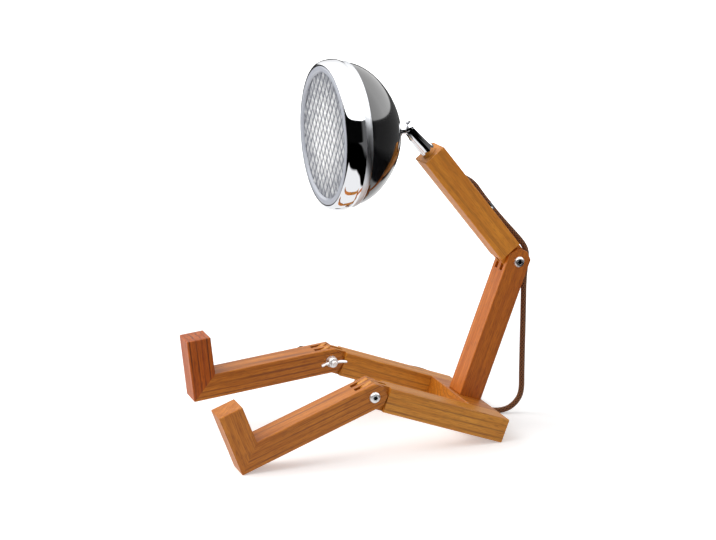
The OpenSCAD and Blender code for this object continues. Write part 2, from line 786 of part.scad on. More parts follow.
module plug_body() {
    x = plug_l / 2;
    y = plug_w / 2;
    color("#201712") on_plug() intersection() {
        translate([0, 0, -plug_t / 2]) linear_extrude(plug_t)
            polygon([[-x, -6], [-x + 3, -8.5], [-2, -10], [5, -y + 0.6], [8, -y], [x, -y],
                [x, y], [8, y], [5, y - 0.6], [-2, 10], [-x + 3, 8.5], [-x, 6]]);
        across(plug_l) polygon(eased([-y, -plug_t / 2], [y, plug_t / 2], 4));
        front_to_back(plug_w) polygon([[-x, -5.5], [-x + 4, -plug_t / 2], [x, -plug_t / 2],
            [x, plug_t / 2], [-x + 4, plug_t / 2], [-x, 5.5]]);
    }
}

module plug_pins() {
    color("#cfd0d2") on_plug() for (side = [-1, 1])
        translate([plug_l / 2, side * pin_gap / 2, 0]) rotate([0, 90, 0])
            rotate_extrude() polygon([[0, 0], [2, 0], [2, 18], [1, 19], [0, 19]]);
}

thigh(1);  // thigh_left
thigh(-1);  // thigh_right
seat_block();
seat_dowels();
lower_torso();
torso_screws();
upper_torso();
shin(1);  // shin_left
shin(-1);  // shin_right
foot(1);  // foot_left
foot(-1);  // foot_right
on_bolt(1, hip_w / 2, knee) bolt();  // knee_bolt_left
on_bolt(-1, -hip_w / 2, knee) bolt();  // knee_bolt_right
on_bolt(1, timber_w / 2, waist) bolt();  // waist_bolt
on_bolt(1, hip_w / 2, knee) washer();  // washer_left
on_bolt(-1, -hip_w / 2, knee) washer();  // washer_right
on_bolt(1, timber_w / 2, waist) washer();  // washer_waist
on_bolt(1, hip_w / 2, knee) wing_nut(90);  // wing_nut_left
on_bolt(-1, -hip_w / 2, knee) wing_nut(86);  // wing_nut_right
on_bolt(1, timber_w / 2, waist) wing_nut(20);  // wing_nut_waist
neck_nipple();
neck_tube();
neck_cap();
ball_seat();
swivel_ball();
stud_collar();
shell_nut();
head_shell();
bezel();
bezel_bead();
bezel_screw();
lens_gasket();
lens();
reflector();
lampholder();
bulb_base();
bulb_glass();
head_lead();
cable_clip();
clip_screws();
cord_back();
cord_waist();
cord_drop();
cord_run();
cord_coil();
coil_tie();
cord_tail();
switch_body();
switch_rocker();
plug_relief();
plug_body();
plug_pins();
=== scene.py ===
# %% [markdown]
# # A desk lamp shaped like a sitting figure
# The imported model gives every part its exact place. This lesson dresses it: the
# timber gets its grain, the headlamp its chrome, enamel and pressed glass, and
# the cord its braid. Everything is in metres, in the same frame as the model,
# with +Z up and the lamp facing -Y.

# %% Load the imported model
from math import cos, pi, radians, sin

import bpy
from mathutils import Matrix, Vector


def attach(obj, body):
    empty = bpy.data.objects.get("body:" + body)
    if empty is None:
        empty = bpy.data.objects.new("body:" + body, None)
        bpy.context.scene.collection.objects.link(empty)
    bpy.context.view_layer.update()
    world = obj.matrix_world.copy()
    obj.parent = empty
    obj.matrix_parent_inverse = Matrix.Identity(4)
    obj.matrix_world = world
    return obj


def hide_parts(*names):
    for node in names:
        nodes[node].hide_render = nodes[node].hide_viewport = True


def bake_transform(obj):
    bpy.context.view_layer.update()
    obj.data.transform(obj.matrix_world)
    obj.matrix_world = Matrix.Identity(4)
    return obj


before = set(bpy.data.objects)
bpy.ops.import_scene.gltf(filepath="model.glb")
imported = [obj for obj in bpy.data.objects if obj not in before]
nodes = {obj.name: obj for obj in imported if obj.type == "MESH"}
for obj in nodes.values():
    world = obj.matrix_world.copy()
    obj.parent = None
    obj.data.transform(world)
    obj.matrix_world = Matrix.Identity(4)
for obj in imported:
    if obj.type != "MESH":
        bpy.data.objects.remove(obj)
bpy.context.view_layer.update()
MM = 0.001

# %% [markdown]
# ## Pins and limbs
# A limb is easiest to shape upright, with its pin at the origin. One matrix then
# carries the piece or its grain to its place. Modelling in place would need
# slanted sums for every point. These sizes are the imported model's own.

# %% Sizes and places of the lamp
TIMBER_W, TIMBER_T = 24 * MM, 21 * MM
HALF = TIMBER_T / 2
HIP_W, THIGH, SHIN = 130 * MM, 126 * MM, 125 * MM
LOWER, UPPER = 125 * MM, 126 * MM
TORSO_AT, BALL_RISE = 14 * MM, 26.5 * MM
# Tilts in degrees, of the seat, of each shin and of the upper torso.
SEAT_TILT, RAISED, PLANTED, LEAN = 20.3, 5.9, 20.476, 38.75
LEG_X = (HIP_W - TIMBER_W) / 2
# The model's origin, measured from the lower rear edge of the hips.
ORIGIN = Vector((0, -98.8808 * MM, 0.2082 * MM))


def along(tilt, distance):
    """The step of this length up a line that leans forward by tilt degrees."""
    return Vector((0, -distance * sin(radians(tilt)), distance * cos(radians(tilt))))


def limb(x, pin, tilt):
    """A limb's frame: its pin is the origin, and it runs along +Z."""
    place = Vector((x, 0, 0)) + pin - ORIGIN
    return Matrix.Translation(place) @ Matrix.Rotation(radians(tilt), 4, "X")


thigh_pin = along(-SEAT_TILT, HALF)
knee = thigh_pin + along(90 - SEAT_TILT, THIGH)
waist = along(90 - SEAT_TILT, TORSO_AT) + along(-SEAT_TILT, TIMBER_T + LOWER)
torso_end = waist + along(LEAN, UPPER)
ball = torso_end + along(LEAN, BALL_RISE)

LIMBS = {
    "thigh_left": limb(LEG_X, thigh_pin, 90 - SEAT_TILT),
    "thigh_right": limb(-LEG_X, thigh_pin, 90 - SEAT_TILT),
    "seat_block": limb(0, thigh_pin, 90 - SEAT_TILT),
    "lower_torso": limb(0, waist - along(-SEAT_TILT, LOWER), -SEAT_TILT),
    "upper_torso": limb(0, waist, LEAN),
    "shin_left": limb(LEG_X, knee, 90 + PLANTED),
    "shin_right": limb(-LEG_X, knee, 90 + RAISED),
}
UPPER_TORSO = LIMBS["upper_torso"]
NECK = limb(0, torso_end, LEAN)
HEAD = limb(0, ball, 90)
print("ball at", tuple(round(v / MM, 1) for v in ball - ORIGIN), "mm")

# %% [markdown]
# ## Camera
# The camera stands 1.7 m away on the lamp's left, a little above it, and looks
# through a long lens. Its place and its focal length were fitted to the corners
# and pins that show in the photograph, so that the perspective matches.

# %% Camera
SENSOR = 36.0
FOCAL_PX, PHOTO_W = 1971.6, 716
CLIP_NEAR, CLIP_FAR = 0.05, 50
eye = Vector((1499.67, -560.24, 561.61)) * MM
looks_at = Vector((-65.07, 17.95, 126.16)) * MM
camera = bpy.data.objects.new("camera", bpy.data.cameras.new("camera"))
bpy.context.collection.objects.link(camera)
camera.data.sensor_width = SENSOR
camera.data.lens = FOCAL_PX / PHOTO_W * SENSOR
camera.location = eye
camera.rotation_euler = (looks_at - eye).to_track_quat("-Z", "Y").to_euler()
camera.data.clip_start, camera.data.clip_end = CLIP_NEAR, CLIP_FAR
bpy.context.scene.camera = camera
print("camera at", tuple(round(v, 3) for v in eye))

# %% [markdown]
# ## Cord
# The lead is a brown textile cord. It leaves the torso's back, runs down it
# under a clip, crosses the waist with a little slack and falls to the table. A
# switch comes next, and the spare length is wound into a neat two-layer coil
# behind the far leg, where the legs hide it. A simulated cord would settle
# differently at each run, so the points are written out, as the model has them.

# %% The cord's route
# All in millimetres: first (across, high, below) on the torso's back, then
# (x, y, z) above the table.
CORD_D = 5 * MM
CORD_R = CORD_D / 2
back_route = [(0, -4.9, 26.5), (0, -2.4, 32.5), (0, 0, 38.5), (0, 2, 44), (0, 3, 50),
              (0, 2.9, 56), (0, 2.6, 64), (0, 2.6, 74), (0, 2.6, 81), (-0.3, 3, 90),
              (-0.9, 3.6, 99), (-1.5, 4.2, 107), (-1.95, 4.65, 113), (-2.4, 4.95, 118.5)]
drop_route = [(-2.8, 146.6, 153.6), (-3, 148.6, 150.4), (-3, 150.1, 145.7), (-3, 150.3, 140.7),
              (-3, 149.9, 135.5), (-3, 149.4, 130), (-3, 148.9, 124.5), (-3, 148.6, 116),
              (-3, 148.6, 105), (-3, 148.6, 93), (-3, 148.6, 80), (-3, 148.5, 66),
              (-3, 148.5, 51), (-3, 148.5, 37), (-3, 148.5, 22.9), (-3.3, 146.6, 14.3),
              (-4.3, 141.4, 7.4), (-5.4, 135.4, 3.8), (-6.7, 128.5, 2.6), (-9.1, 122.2, 2.8),
              (-13.4, 117.2, 3.4), (-19.2, 114, 4.4), (-25.4, 113, 5.4), (-28.6, 113, 5.8),
              (-32, 113, 5.8)]
switch_run = [(-44, 113, 5.8), (-56, 113, 5.8), (-68, 113, 5.8)]
run_route = [(-80, 113, 5.8), (-82.5, 113, 5.8), (-88, 112.05, 5.1), (-93.5, 109.3, 4.2),
             (-97.8, 106.9, 3.4)]
tail_route = [(-145.2, 74, 8.2), (-149.5, 67.8, 7.4), (-155, 60.9, 6.9), (-160.6, 54.4, 6.9),
              (-164.9, 50, 7)]
COIL_CENTRE, COIL_START, COIL_R = (-106, 68), 97, 37
COIL_TURNS, COIL_PITCH, COIL_Z = 7.15, 5.45, 3.1
COIL_RINGS, CLIMB = 172, 0.5
PLUG_AT, PLUG_TURN, PLUG_Z = (-196, 18.9), 225, 7
PLUG_L, RELIEF_L = 36, 22


def coil_point(turns):
    """A point on the spiral, which climbs a layer where it reverses."""
    half_way = COIL_TURNS / 2
    radius = COIL_R - COIL_PITCH * min(turns, COIL_TURNS - turns)
    rise = min(max(turns - half_way + CLIMB / 2, 0), CLIMB)
    angle = radians(COIL_START + 360 * turns)
    return (COIL_CENTRE[0] + radius * cos(angle), COIL_CENTRE[1] + radius * sin(angle),
            COIL_Z + COIL_PITCH * (1 - cos(pi * rise / CLIMB)) / 2)


def beside_coil(turns, distance):
    """A point on the straight line that leaves the coil here."""
    angle = radians(COIL_START + 360 * turns)
    x, y, z = coil_point(turns)
    return (x - distance * sin(angle), y + distance * cos(angle), z)


def on_back(across, high, below):
    """A point over the torso's back, below the torso's end."""
    return (UPPER_TORSO @ Vector((across * MM, HALF + high * MM, UPPER - below * MM))) / MM


coil_route = [coil_point(COIL_TURNS * i / COIL_RINGS) for i in range(COIL_RINGS + 1)]
plug_back = PLUG_L / 2 + RELIEF_L
relief_mouth = (PLUG_AT[0] - plug_back * cos(radians(PLUG_TURN)),
                PLUG_AT[1] - plug_back * sin(radians(PLUG_TURN)), PLUG_Z)
route = ([on_back(*p) for p in back_route] + drop_route + switch_run + run_route
         + [beside_coil(0, -8), beside_coil(0, -5)] + coil_route
         + [beside_coil(COIL_TURNS, 5), beside_coil(COIL_TURNS, 8)] + tail_route
         + [relief_mouth])
route = [Vector(p) * MM for p in route]


def smooth_path(points, step):
    """Catmull-Rom points through these, about one step apart."""
    ends = [2 * points[0] - points[1]] + points + [2 * points[-1] - points[-2]]
    made = [points[0]]
    for a, b, c, d in zip(ends, ends[1:], ends[2:], ends[3:]):
        pieces = max(1, round((c - b).length / step))
        for i in range(1, pieces + 1):
            t = i / pieces
            made.append(0.5 * (2 * b + (c - a) * t + (2 * a - 5 * b + 4 * c - d) * t * t
                               + (3 * b - a - 3 * c + d) * t ** 3))
    return made


CORD_STEP = 3 * MM
cord_path = smooth_path(route, CORD_STEP)

# %% [markdown]
# A braid needs a UV map that follows the cord, with V along it in metres. A
# curve with a round bevel would give one too, but not in metres. So the tube is
# swept ring by ring, and each ring is carried on from the last, so that the
# braid never twists.

# %% Sweep the cord
CORD_SIDES = 12


def swept_tube(name, path, radius, sides):
    """A closed tube along the path, with U round it and V along it in metres."""
    across = Vector((1, 0, 0))
    points, uv_v, run = [], [], 0.0
    for i, at in enumerate(path):
        ahead = (path[min(i + 1, len(path) - 1)] - path[max(i - 1, 0)]).normalized()
        across = (across - across.dot(ahead) * ahead).normalized()
        up = ahead.cross(across)
        run += (at - path[i - 1]).length if i else 0
        uv_v.append(run)
        points += [at + radius * (across * cos(2 * pi * k / sides) + up * sin(2 * pi * k / sides))
                   for k in range(sides)]
    faces, uvs = [], []
    for i in range(len(path) - 1):
        for k in range(sides):
            low, high = i * sides, (i + 1) * sides
            n = (k + 1) % sides
            faces.append((low + k, low + n, high + n, high + k))
            u0, u1, v0, v1 = k / sides, (k + 1) / sides, uv_v[i], uv_v[i + 1]
            uvs += [(u0, v0), (u1, v0), (u1, v1), (u0, v1)]
    last = (len(path) - 1) * sides
    faces += [tuple(reversed(range(sides))), tuple(last + k for k in range(sides))]
    uvs += [(0, 0)] * (2 * sides)
    mesh = bpy.data.meshes.new(name)
    mesh.from_pydata(points, [], faces)
    layer = mesh.uv_layers.new(name="along")
    for loop, uv in zip(layer.data, uvs):
        loop.uv = uv
    mesh.shade_smooth()
    tube = bpy.data.objects.new(name, mesh)
    bpy.context.collection.objects.link(tube)
    return tube


cord = swept_tube("power_cord", cord_path, CORD_R, CORD_SIDES)
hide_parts("cord_back", "cord_waist", "cord_drop", "cord_run", "cord_coil", "cord_tail")
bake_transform(cord)
print("cord faces:", len(cord.data.polygons))

# %% [markdown]
# ## Helpers for finishes
# A finish starts from a Principled shader. One function adds any node with its
# options, and fills each of its sockets with a value or a link. Some sockets are
# known by number: a Map Range reads from 1 to 2 and gives 3 to 4, or 0 to 1, a
# Mix of numbers blends 2 and 3, and a Mix of colours blends 6 and 7.

# %% Material helpers
def linear(code):
    """A six-digit sRGB hex colour as the linear numbers a shader works in."""
    parts = [int(code[i:i + 2], 16) / 255 for i in (1, 3, 5)]
    return [c / 12.92 if c <= 0.04045 else ((c + 0.055) / 1.055) ** 2.4 for c in parts] + [1.0]


def add(tree, kind, sockets=None, **settings):
    """Adds a node, sets its options, and fills each socket with a value or a link."""
    made = tree.nodes.new(kind)
    for name, value in settings.items():
        setattr(made, name, value)
    for name, value in (sockets or {}).items():
        if isinstance(value, bpy.types.NodeSocket):
            tree.links.new(value, made.inputs[name])
        else:
            made.inputs[name].default_value = value
    return made


def finish(name, colour, roughness, **principled):
    """A new material: its tree, its shader, and the Object coordinates."""
    material = bpy.data.materials.new(name)
    material.use_nodes = True
    tree = material.node_tree
    tree.nodes.clear()
    values = {"Base Color": linear(colour), "Roughness": roughness}
    values.update({key.replace("_", " "): value for key, value in principled.items()})
    shader = add(tree, "ShaderNodeBsdfPrincipled", values)
    add(tree, "ShaderNodeOutputMaterial", {"Surface": shader.outputs[0]})
    place = add(tree, "ShaderNodeTexCoord").outputs["Object"]
    return material, tree, shader, place


def dress(piece, material):
    """Gives the whole piece this one finish."""
    piece.data.materials.clear()
    piece.data.materials.append(material)


# %% [markdown]
# ## Oiled teak
# The limbs are teak, planed and oiled. Thin brown growth lines run down the
# length between bands of fine fibre with dark pores, and the cut ends show the
# rings as arcs. A solid pattern in each limb's own frame gives all of it from
# one material, because the sides slice it lengthwise and the ends across. The
# heart is the tree's middle as seen from the limb: lines are narrow on a side
# that faces along the rings, and wide and wavy on one that faces the heart.
# Real pores are finer than the picture shows, so they are drawn coarser.

# %% Teak
RING_GAP = 4.6 * MM
FIBRE_W, FIBRE_L = 0.8 * MM, 20 * MM
PORE_W, PORE_L = 0.7 * MM, 7 * MM
DRIFT_W, DRIFT_L = 6 * MM, 60 * MM
# The gap of a wave texture's rings at a scale of 1, and their taper along the trunk.
WAVE_SPAN, RING_TAPER = 0.314, 0.045
LINE_FROM, PORE_FROM, PORE_DEPTH = 0.72, 0.52, 0.42


def oiled_teak(name, place, heart, shade, figure=0.6):
    """Teak whose grain runs along +Z of this limb, with its heart off to one side."""
    light, brown, line = (linear(c) for c in shade)
    material, tree, shader, position = finish("oiled_teak_" + name, shade[1], 0.42,
                                              Specular_IOR_Level=0.4)
    local = add(tree, "ShaderNodeMapping", {
        "Vector": position, "Location": place.to_translation(), "Rotation": place.to_euler()},
        vector_type="TEXTURE").outputs[0]

    def streaks(wide, long, detail):
        """Noise drawn out along the grain."""
        drawn = add(tree, "ShaderNodeVectorMath", {0: local, 1: (1 / wide, 1 / wide, 1 / long)},
                    operation="MULTIPLY").outputs[0]
        return add(tree, "ShaderNodeTexNoise", {"Vector": drawn, "Scale": 1.0,
                                                "Detail": detail}).outputs["Fac"]

    from_heart = add(tree, "ShaderNodeVectorMath", {0: local, 1: heart},
                     operation="SUBTRACT").outputs[0]
    flattened = add(tree, "ShaderNodeVectorMath", {0: from_heart, 1: (1, 1, RING_TAPER)},
                    operation="MULTIPLY").outputs[0]
    rings = add(tree, "ShaderNodeTexWave", {
        "Vector": flattened, "Scale": WAVE_SPAN / RING_GAP, "Distortion": 8.0, "Detail": 3.0,
        "Detail Scale": 0.5, "Detail Roughness": 0.55},
        wave_type="RINGS", rings_direction="Z", wave_profile="SIN").outputs["Fac"]
    drift = streaks(DRIFT_W, DRIFT_L, 1.0)
    edge = add(tree, "ShaderNodeMapRange", {0: rings, 1: LINE_FROM, 2: 1.0, 4: figure}).outputs[0]
    fading = add(tree, "ShaderNodeMapRange", {
        0: drift, 1: 0.35, 2: 0.62, 3: 0.1, 4: 1.0}).outputs[0]
    growth = add(tree, "ShaderNodeMath", {0: edge, 1: fading}, operation="MULTIPLY").outputs[0]
    fibre = streaks(FIBRE_W, FIBRE_L, 2.0)
    grain = add(tree, "ShaderNodeMath", {0: fibre, 1: drift}, operation="ADD").outputs[0]
    tone = add(tree, "ShaderNodeMapRange", {0: grain, 1: 0.7, 2: 1.3}).outputs[0]
    pores = add(tree, "ShaderNodeMapRange", {
        0: streaks(PORE_W, PORE_L, 1.0), 1: PORE_FROM, 2: 0.7, 4: PORE_DEPTH}).outputs[0]
    wood = brown
    for amount, colour in ((tone, light), (growth, line), (pores, line)):
        wood = add(tree, "ShaderNodeMix", {0: amount, 6: wood, 7: colour},
                   data_type="RGBA").outputs[2]
    tree.links.new(wood, shader.inputs["Base Color"])
    gloss = add(tree, "ShaderNodeMapRange", {0: tone, 3: 0.5, 4: 0.38}).outputs[0]
    tree.links.new(gloss, shader.inputs["Roughness"])
    depth = add(tree, "ShaderNodeMath", {0: pores, 1: -1.0, 2: fibre},
                operation="MULTIPLY_ADD").outputs[0]
    bump = add(tree, "ShaderNodeBump", {"Height": depth, "Strength": 0.2,
                                        "Distance": 0.2 * MM}).outputs[0]
    tree.links.new(bump, shader.inputs["Normal"])
    return material


# Each board's light, middle and line colours.
HONEY = ("#E8962E", "#D07C1E", "#9A5617")
GOLDEN = ("#E29A38", "#C17620", "#874C18")
RUSSET = ("#CE7316", "#B0590A", "#723306")
CHESTNUT = ("#CC7C22", "#A75C10", "#6E340A")
MAHOGANY = ("#BD5E05", "#964001", "#532100")
# Each limb's colours, the place of its heart in metres, and the strength of its lines.
limb_woods = {
    "thigh_left": (GOLDEN, (0.03, 0.022, 0), 0.8),
    "thigh_right": (GOLDEN, (-0.02, 0.05, 0), 0.6),
    "seat_block": (CHESTNUT, (0.01, 0.05, 0.03), 0.6),
    "lower_torso": (RUSSET, (0.05, -0.02, 0), 0.3),
    "upper_torso": (HONEY, (0.055, 0.02, 0), 0.45),
    "shin_left": (CHESTNUT, (0.02, 0.06, 0), 0.75),
    "shin_right": (CHESTNUT, (-0.012, 0.05, 0), 0.8),
}
for name, (shade, heart, figure) in limb_woods.items():
    dress(nodes[name], oiled_teak(name, LIMBS[name], heart, shade, figure))
across_foot = Matrix.Rotation(radians(-90), 4, "X")
foot_woods = {
    "left": (CHESTNUT, (0.04, 0.045, 0), 0.35),
    "right": (MAHOGANY, (0.004, -0.05, 0), 0.9),
}
for side, (shade, heart, figure) in foot_woods.items():
    grain_way = LIMBS["shin_" + side] @ Matrix.Translation((0, 0, SHIN)) @ across_foot
    dress(nodes["foot_" + side], oiled_teak("foot_" + side, grain_way, heart, shade, figure))
print("teak parts:", len(limb_woods) + len(foot_woods))

# %% [markdown]
# ## Metals
# A metal is one colour of reflection, and what tells one from another is how
# sharp its mirror is. Chrome is almost a true mirror, satin chrome and zinc
# scatter more, and turned brass keeps its lathe marks. A noise makes each gloss
# uneven, as plating and handling do. A painted map could too, but would show seams.

# %% Metal finishes
def metal(name, colour, roughness, per_metre, detail, low, high):
    """A metal whose gloss wanders between two roughnesses, in patches of noise."""
    material, tree, shader, place = finish(name, colour, roughness, Metallic=1.0)
    patches = add(tree, "ShaderNodeTexNoise", {"Vector": place, "Scale": per_metre,
                                               "Detail": detail}).outputs["Fac"]
    gloss = add(tree, "ShaderNodeMapRange", {0: patches, 3: low, 4: high}).outputs[0]
    tree.links.new(gloss, shader.inputs["Roughness"])
    return material


# The rim and the neck mirror the studio, with the faint haze of a wiped surface.
chrome = metal("polished_chrome_plate", "#ECEDF0", 0.035, 60.0, 2.0, 0.02, 0.06)
# The bead behind the rim is plated but not polished, so it reads as plain grey.
satin = metal("satin_chrome_plate", "#D9DBDF", 0.38, 500.0, 2.0, 0.32, 0.45)
# Bolts, nuts and screws are whitish, with small dull spots 1 to 2 mm across.
zinc = metal("zinc_plated_steel", "#F0F0F1", 0.32, 700.0, 3.0, 0.36, 0.52)
brass = metal("turned_brass", "#C8A45C", 0.25, 900.0, 2.0, 0.18, 0.38)
# The reflector's thin coat of metal has broad cloudy patches.
mirror_coat = metal("vacuum_metallised_reflector", "#E4E6E8", 0.1, 120.0, 2.0, 0.06, 0.16)
print("metal finishes made")

# %% [markdown]
# ## Enamel
# The shell is sprayed black and stoved. It is a dark base under a clear coat that
# mirrors the room weakly, with a very shallow orange peel about 3 mm across.

# %% Enamel finish
enamel, enamel_tree, enamel_shader, enamel_place = finish(
    "black_stoved_enamel", "#121214", 0.12, Coat_Weight=1.0, Coat_Roughness=0.015, Coat_IOR=1.55)
orange_peel = add(enamel_tree, "ShaderNodeTexNoise", {"Vector": enamel_place, "Scale": 320.0,
                                                      "Detail": 1.0}).outputs["Fac"]
peel = add(enamel_tree, "ShaderNodeBump", {"Height": orange_peel, "Strength": 0.03,
                                           "Distance": 0.3 * MM}).outputs[0]
enamel_tree.links.new(peel, enamel_shader.inputs["Coat Normal"])
print("enamel made")

# %% [markdown]
# ## Mouldings
# The switch, plug, strap and gasket come out of moulds with a fine matt texture.
# The porcelain, the opal bulb and the dowels are as even, so one recipe with its
# own colour, gloss and grain size serves them all.

# %% Plastic, rubber, glass and ceramic finishes
def moulded(name, colour, roughness, grit):
    """An even colour with a fine grain of this size in metres pressed into it."""
    material, tree, shader, place = finish(name, colour, roughness)
    grain = add(tree, "ShaderNodeTexNoise", {"Vector": place, "Scale": 1 / grit,
                                             "Detail": 2.0}).outputs["Fac"]
    spread = add(tree, "ShaderNodeMapRange", {
        0: grain, 3: roughness - 0.08, 4: roughness + 0.1}).outputs[0]
    tree.links.new(spread, shader.inputs["Roughness"])
    bump = add(tree, "ShaderNodeBump", {"Height": grain, "Strength": 0.15,
                                        "Distance": 0.1 * MM}).outputs[0]
    tree.links.new(bump, shader.inputs["Normal"])
    return material


switch_plastic = moulded("brown_abs_moulding", "#2B1D15", 0.32, 0.0008)
plug_plastic = moulded("brown_pvc_moulding", "#221913", 0.45, 0.0010)
strap_rubber = moulded("black_silicone_strap", "#18181A", 0.6, 0.0009)
gasket_rubber = moulded("black_rubber_gasket", "#0C0C0D", 0.55, 0.0009)
flex_plastic = moulded("grey_pvc_sheath", "#3A3A3C", 0.5, 0.0010)
ceramic = moulded("glazed_porcelain", "#EAE5DB", 0.2, 0.0015)
dowel_wood = moulded("bare_beech_dowel", "#D8B98A", 0.65, 0.0012)
opal = moulded("opal_glass", "#F2EEE4", 0.3, 0.0020)
print("plastic, rubber and ceramic finishes made")

# %% [markdown]
# ## Glass pattern and its painted light
# The headlamp's glass is pressed into tall diamonds, thick in their middles and
# thin along their borders. Clear prisms alone would show a flat grey studio, so
# the colour paints their light: a painted highlight, white in each diamond's
# middle, and painted shade, grey along its borders. It follows the modelled
# prisms, in the head's own frame, bent by a little noise.

# %% Pressed glass
DIAMOND = 5.4 * MM
DIAMOND_W, DIAMOND_H = 1.15, 1.6
WINDOW_R = 51.4 * MM
WOBBLE, CLOUD = 0.1, 0.06
# Radii where the painted highlight starts to fade, and where it is grey painted shade.
PAINTED_LIGHT_TO, PAINTED_SHADE_FROM = 52 * MM, 84 * MM
pressed_glass, pane, glass_shader, glass_place = finish(
    "pressed_glass_with_painted_light", "#F4F6FA", 0.05, Transmission_Weight=0.25, IOR=1.5)
in_head = add(pane, "ShaderNodeMapping", {
    "Vector": glass_place, "Location": HEAD.to_translation(), "Rotation": HEAD.to_euler()},
    vector_type="TEXTURE").outputs[0]
waves = add(pane, "ShaderNodeTexNoise", {"Vector": in_head, "Scale": 150.0,
                                         "Detail": 1.0}).outputs["Fac"]
wobble = add(pane, "ShaderNodeMapRange", {0: waves, 3: -WOBBLE, 4: WOBBLE}).outputs[0]
borders = []
for way in (1, -1):
    slant = (way / (2 ** 0.5 * DIAMOND * DIAMOND_W), 1 / (2 ** 0.5 * DIAMOND * DIAMOND_H), 0)
    count = add(pane, "ShaderNodeVectorMath", {0: in_head, 1: slant},
                operation="DOT_PRODUCT").outputs[1]
    count = add(pane, "ShaderNodeMath", {0: wobble, 1: count}).outputs[0]
    borders.append(add(pane, "ShaderNodeMath", {0: count, 1: 0.5},
                       operation="PINGPONG").outputs[0])
inside = add(pane, "ShaderNodeMath", {0: borders[0], 1: borders[1]},
             operation="MINIMUM").outputs[0]
# A painted highlight: white in each diamond's middle, grey painted shade at its borders.
painted_prism_highlight = add(pane, "ShaderNodeMapRange", {0: inside, 1: 0.03, 2: 0.2}).outputs[0]

# %% [markdown]
# The bowl behind the glass sends most light out near the middle. The colour
# paints that as well: the painted highlight fades to grey painted shade towards
# the edge, in soft clouds.

# %% Painted brightness of the glass
flat = add(pane, "ShaderNodeVectorMath", {0: in_head, 1: (1, 1, 0)},
           operation="MULTIPLY").outputs[0]
from_middle = add(pane, "ShaderNodeVectorMath", {0: flat}, operation="LENGTH").outputs[1]
clouds = add(pane, "ShaderNodeTexNoise", {"Vector": flat, "Scale": 110.0,
                                          "Detail": 3.0}).outputs["Fac"]
spread = add(pane, "ShaderNodeMath", {0: clouds, 1: CLOUD, 2: from_middle},
             operation="MULTIPLY_ADD").outputs[0]
bright = add(pane, "ShaderNodeMapRange", {
    0: spread, 1: PAINTED_LIGHT_TO, 2: PAINTED_SHADE_FROM, 3: 1.0, 4: 0.2}).outputs[0]
painted_sparkle = add(pane, "ShaderNodeMath", {0: painted_prism_highlight, 1: bright}, operation="MULTIPLY").outputs[0]
# White is the painted highlight, and #7A7D86 grey is the painted shade.
glass_colour_with_painted_light = add(pane, "ShaderNodeMix", {0: painted_sparkle, 6: linear("#7A7D86"),
                                           7: linear("#FFFFFF")}, data_type="RGBA").outputs[2]
on_flange = add(pane, "ShaderNodeMath", {0: from_middle, 1: WINDOW_R},
                operation="GREATER_THAN").outputs[0]
glass_colour_with_painted_light = add(pane, "ShaderNodeMix", {0: on_flange, 6: glass_colour_with_painted_light,
                                           7: linear("#C4C7D0")}, data_type="RGBA").outputs[2]
pane.links.new(glass_colour_with_painted_light, glass_shader.inputs["Base Color"])
ripple = add(pane, "ShaderNodeTexNoise", {"Vector": glass_place, "Scale": 160.0,
                                          "Detail": 2.0}).outputs["Fac"]
glass_bump = add(pane, "ShaderNodeBump", {"Height": ripple, "Strength": 0.12,
                                          "Distance": 0.4 * MM}).outputs[0]
pane.links.new(glass_bump, glass_shader.inputs["Normal"])
print("glass pattern:", round(DIAMOND * DIAMOND_W * 2 ** 0.5 / MM, 1), "mm wide")

# %% [markdown]
# ## Braided textile
# The cord's cover is plaited from brown yarns that cross in two directions.
# Modelled yarns would be too fine to see, so two slanted waves on the cord's own
# UV map make the plait: one yarn lies over the other where its wave is the higher.
# The colour is darker where the plait is low: painted shade in the dips between
# the yarns.

# %% Textile braid
YARN = 1.6 * MM
YARNS_ROUND, YARN_REACH = 6.0, 2.2
braid, weave, braid_shader, _ = finish("brown_textile_braid", "#5A341B", 0.8,
                                       Sheen_Weight=0.12, Sheen_Roughness=0.5)
braid_uv = add(weave, "ShaderNodeUVMap", uv_map="along").outputs[0]
strands = []
for way in (1, -1):
    slope = (way * YARNS_ROUND, 1 / (YARN_REACH * YARN), 0)
    turned_uv = add(weave, "ShaderNodeVectorMath", {0: braid_uv, 1: slope},
                    operation="MULTIPLY").outputs[0]
    split = add(weave, "ShaderNodeSeparateXYZ", {0: turned_uv})
    total = add(weave, "ShaderNodeMath", {0: split.outputs[0], 1: split.outputs[1]},
                operation="ADD").outputs[0]
    phase = add(weave, "ShaderNodeMath", {0: total, 1: 2 * pi}, operation="MULTIPLY").outputs[0]
    strands.append(add(weave, "ShaderNodeMath", {0: phase}, operation="SINE").outputs[0])
plait = add(weave, "ShaderNodeMath", {0: strands[0], 1: strands[1]},
            operation="MAXIMUM").outputs[0]
plait_rise_and_painted_shade = add(weave, "ShaderNodeMapRange", {0: plait, 1: -0.6, 2: 1.0}).outputs[0]
# Dark #331B0C where the plait is low is painted shade; #8A562F is the yarns' tops.
braid_colour = add(weave, "ShaderNodeMix", {0: plait_rise_and_painted_shade, 6: linear("#331B0C"),
                                            7: linear("#8A562F")}, data_type="RGBA").outputs[2]
weave.links.new(braid_colour, braid_shader.inputs["Base Color"])
plait_bump = add(weave, "ShaderNodeBump", {"Height": plait_rise_and_painted_shade, "Strength": 0.5,
                                           "Distance": 0.4 * MM}).outputs[0]
weave.links.new(plait_bump, braid_shader.inputs["Normal"])
dress(cord, braid)
print("braid on", cord.name)

# %% [markdown]
# ## Tools for turned and cut pieces
# Most of the metal parts were turned on a lathe or spun over a former. Spin would
# make them too, but a circle extruded and resized from ring to ring follows the
# same profile and closes on itself. An operator acts on all that is selected, so
# everything is deselected before each step.

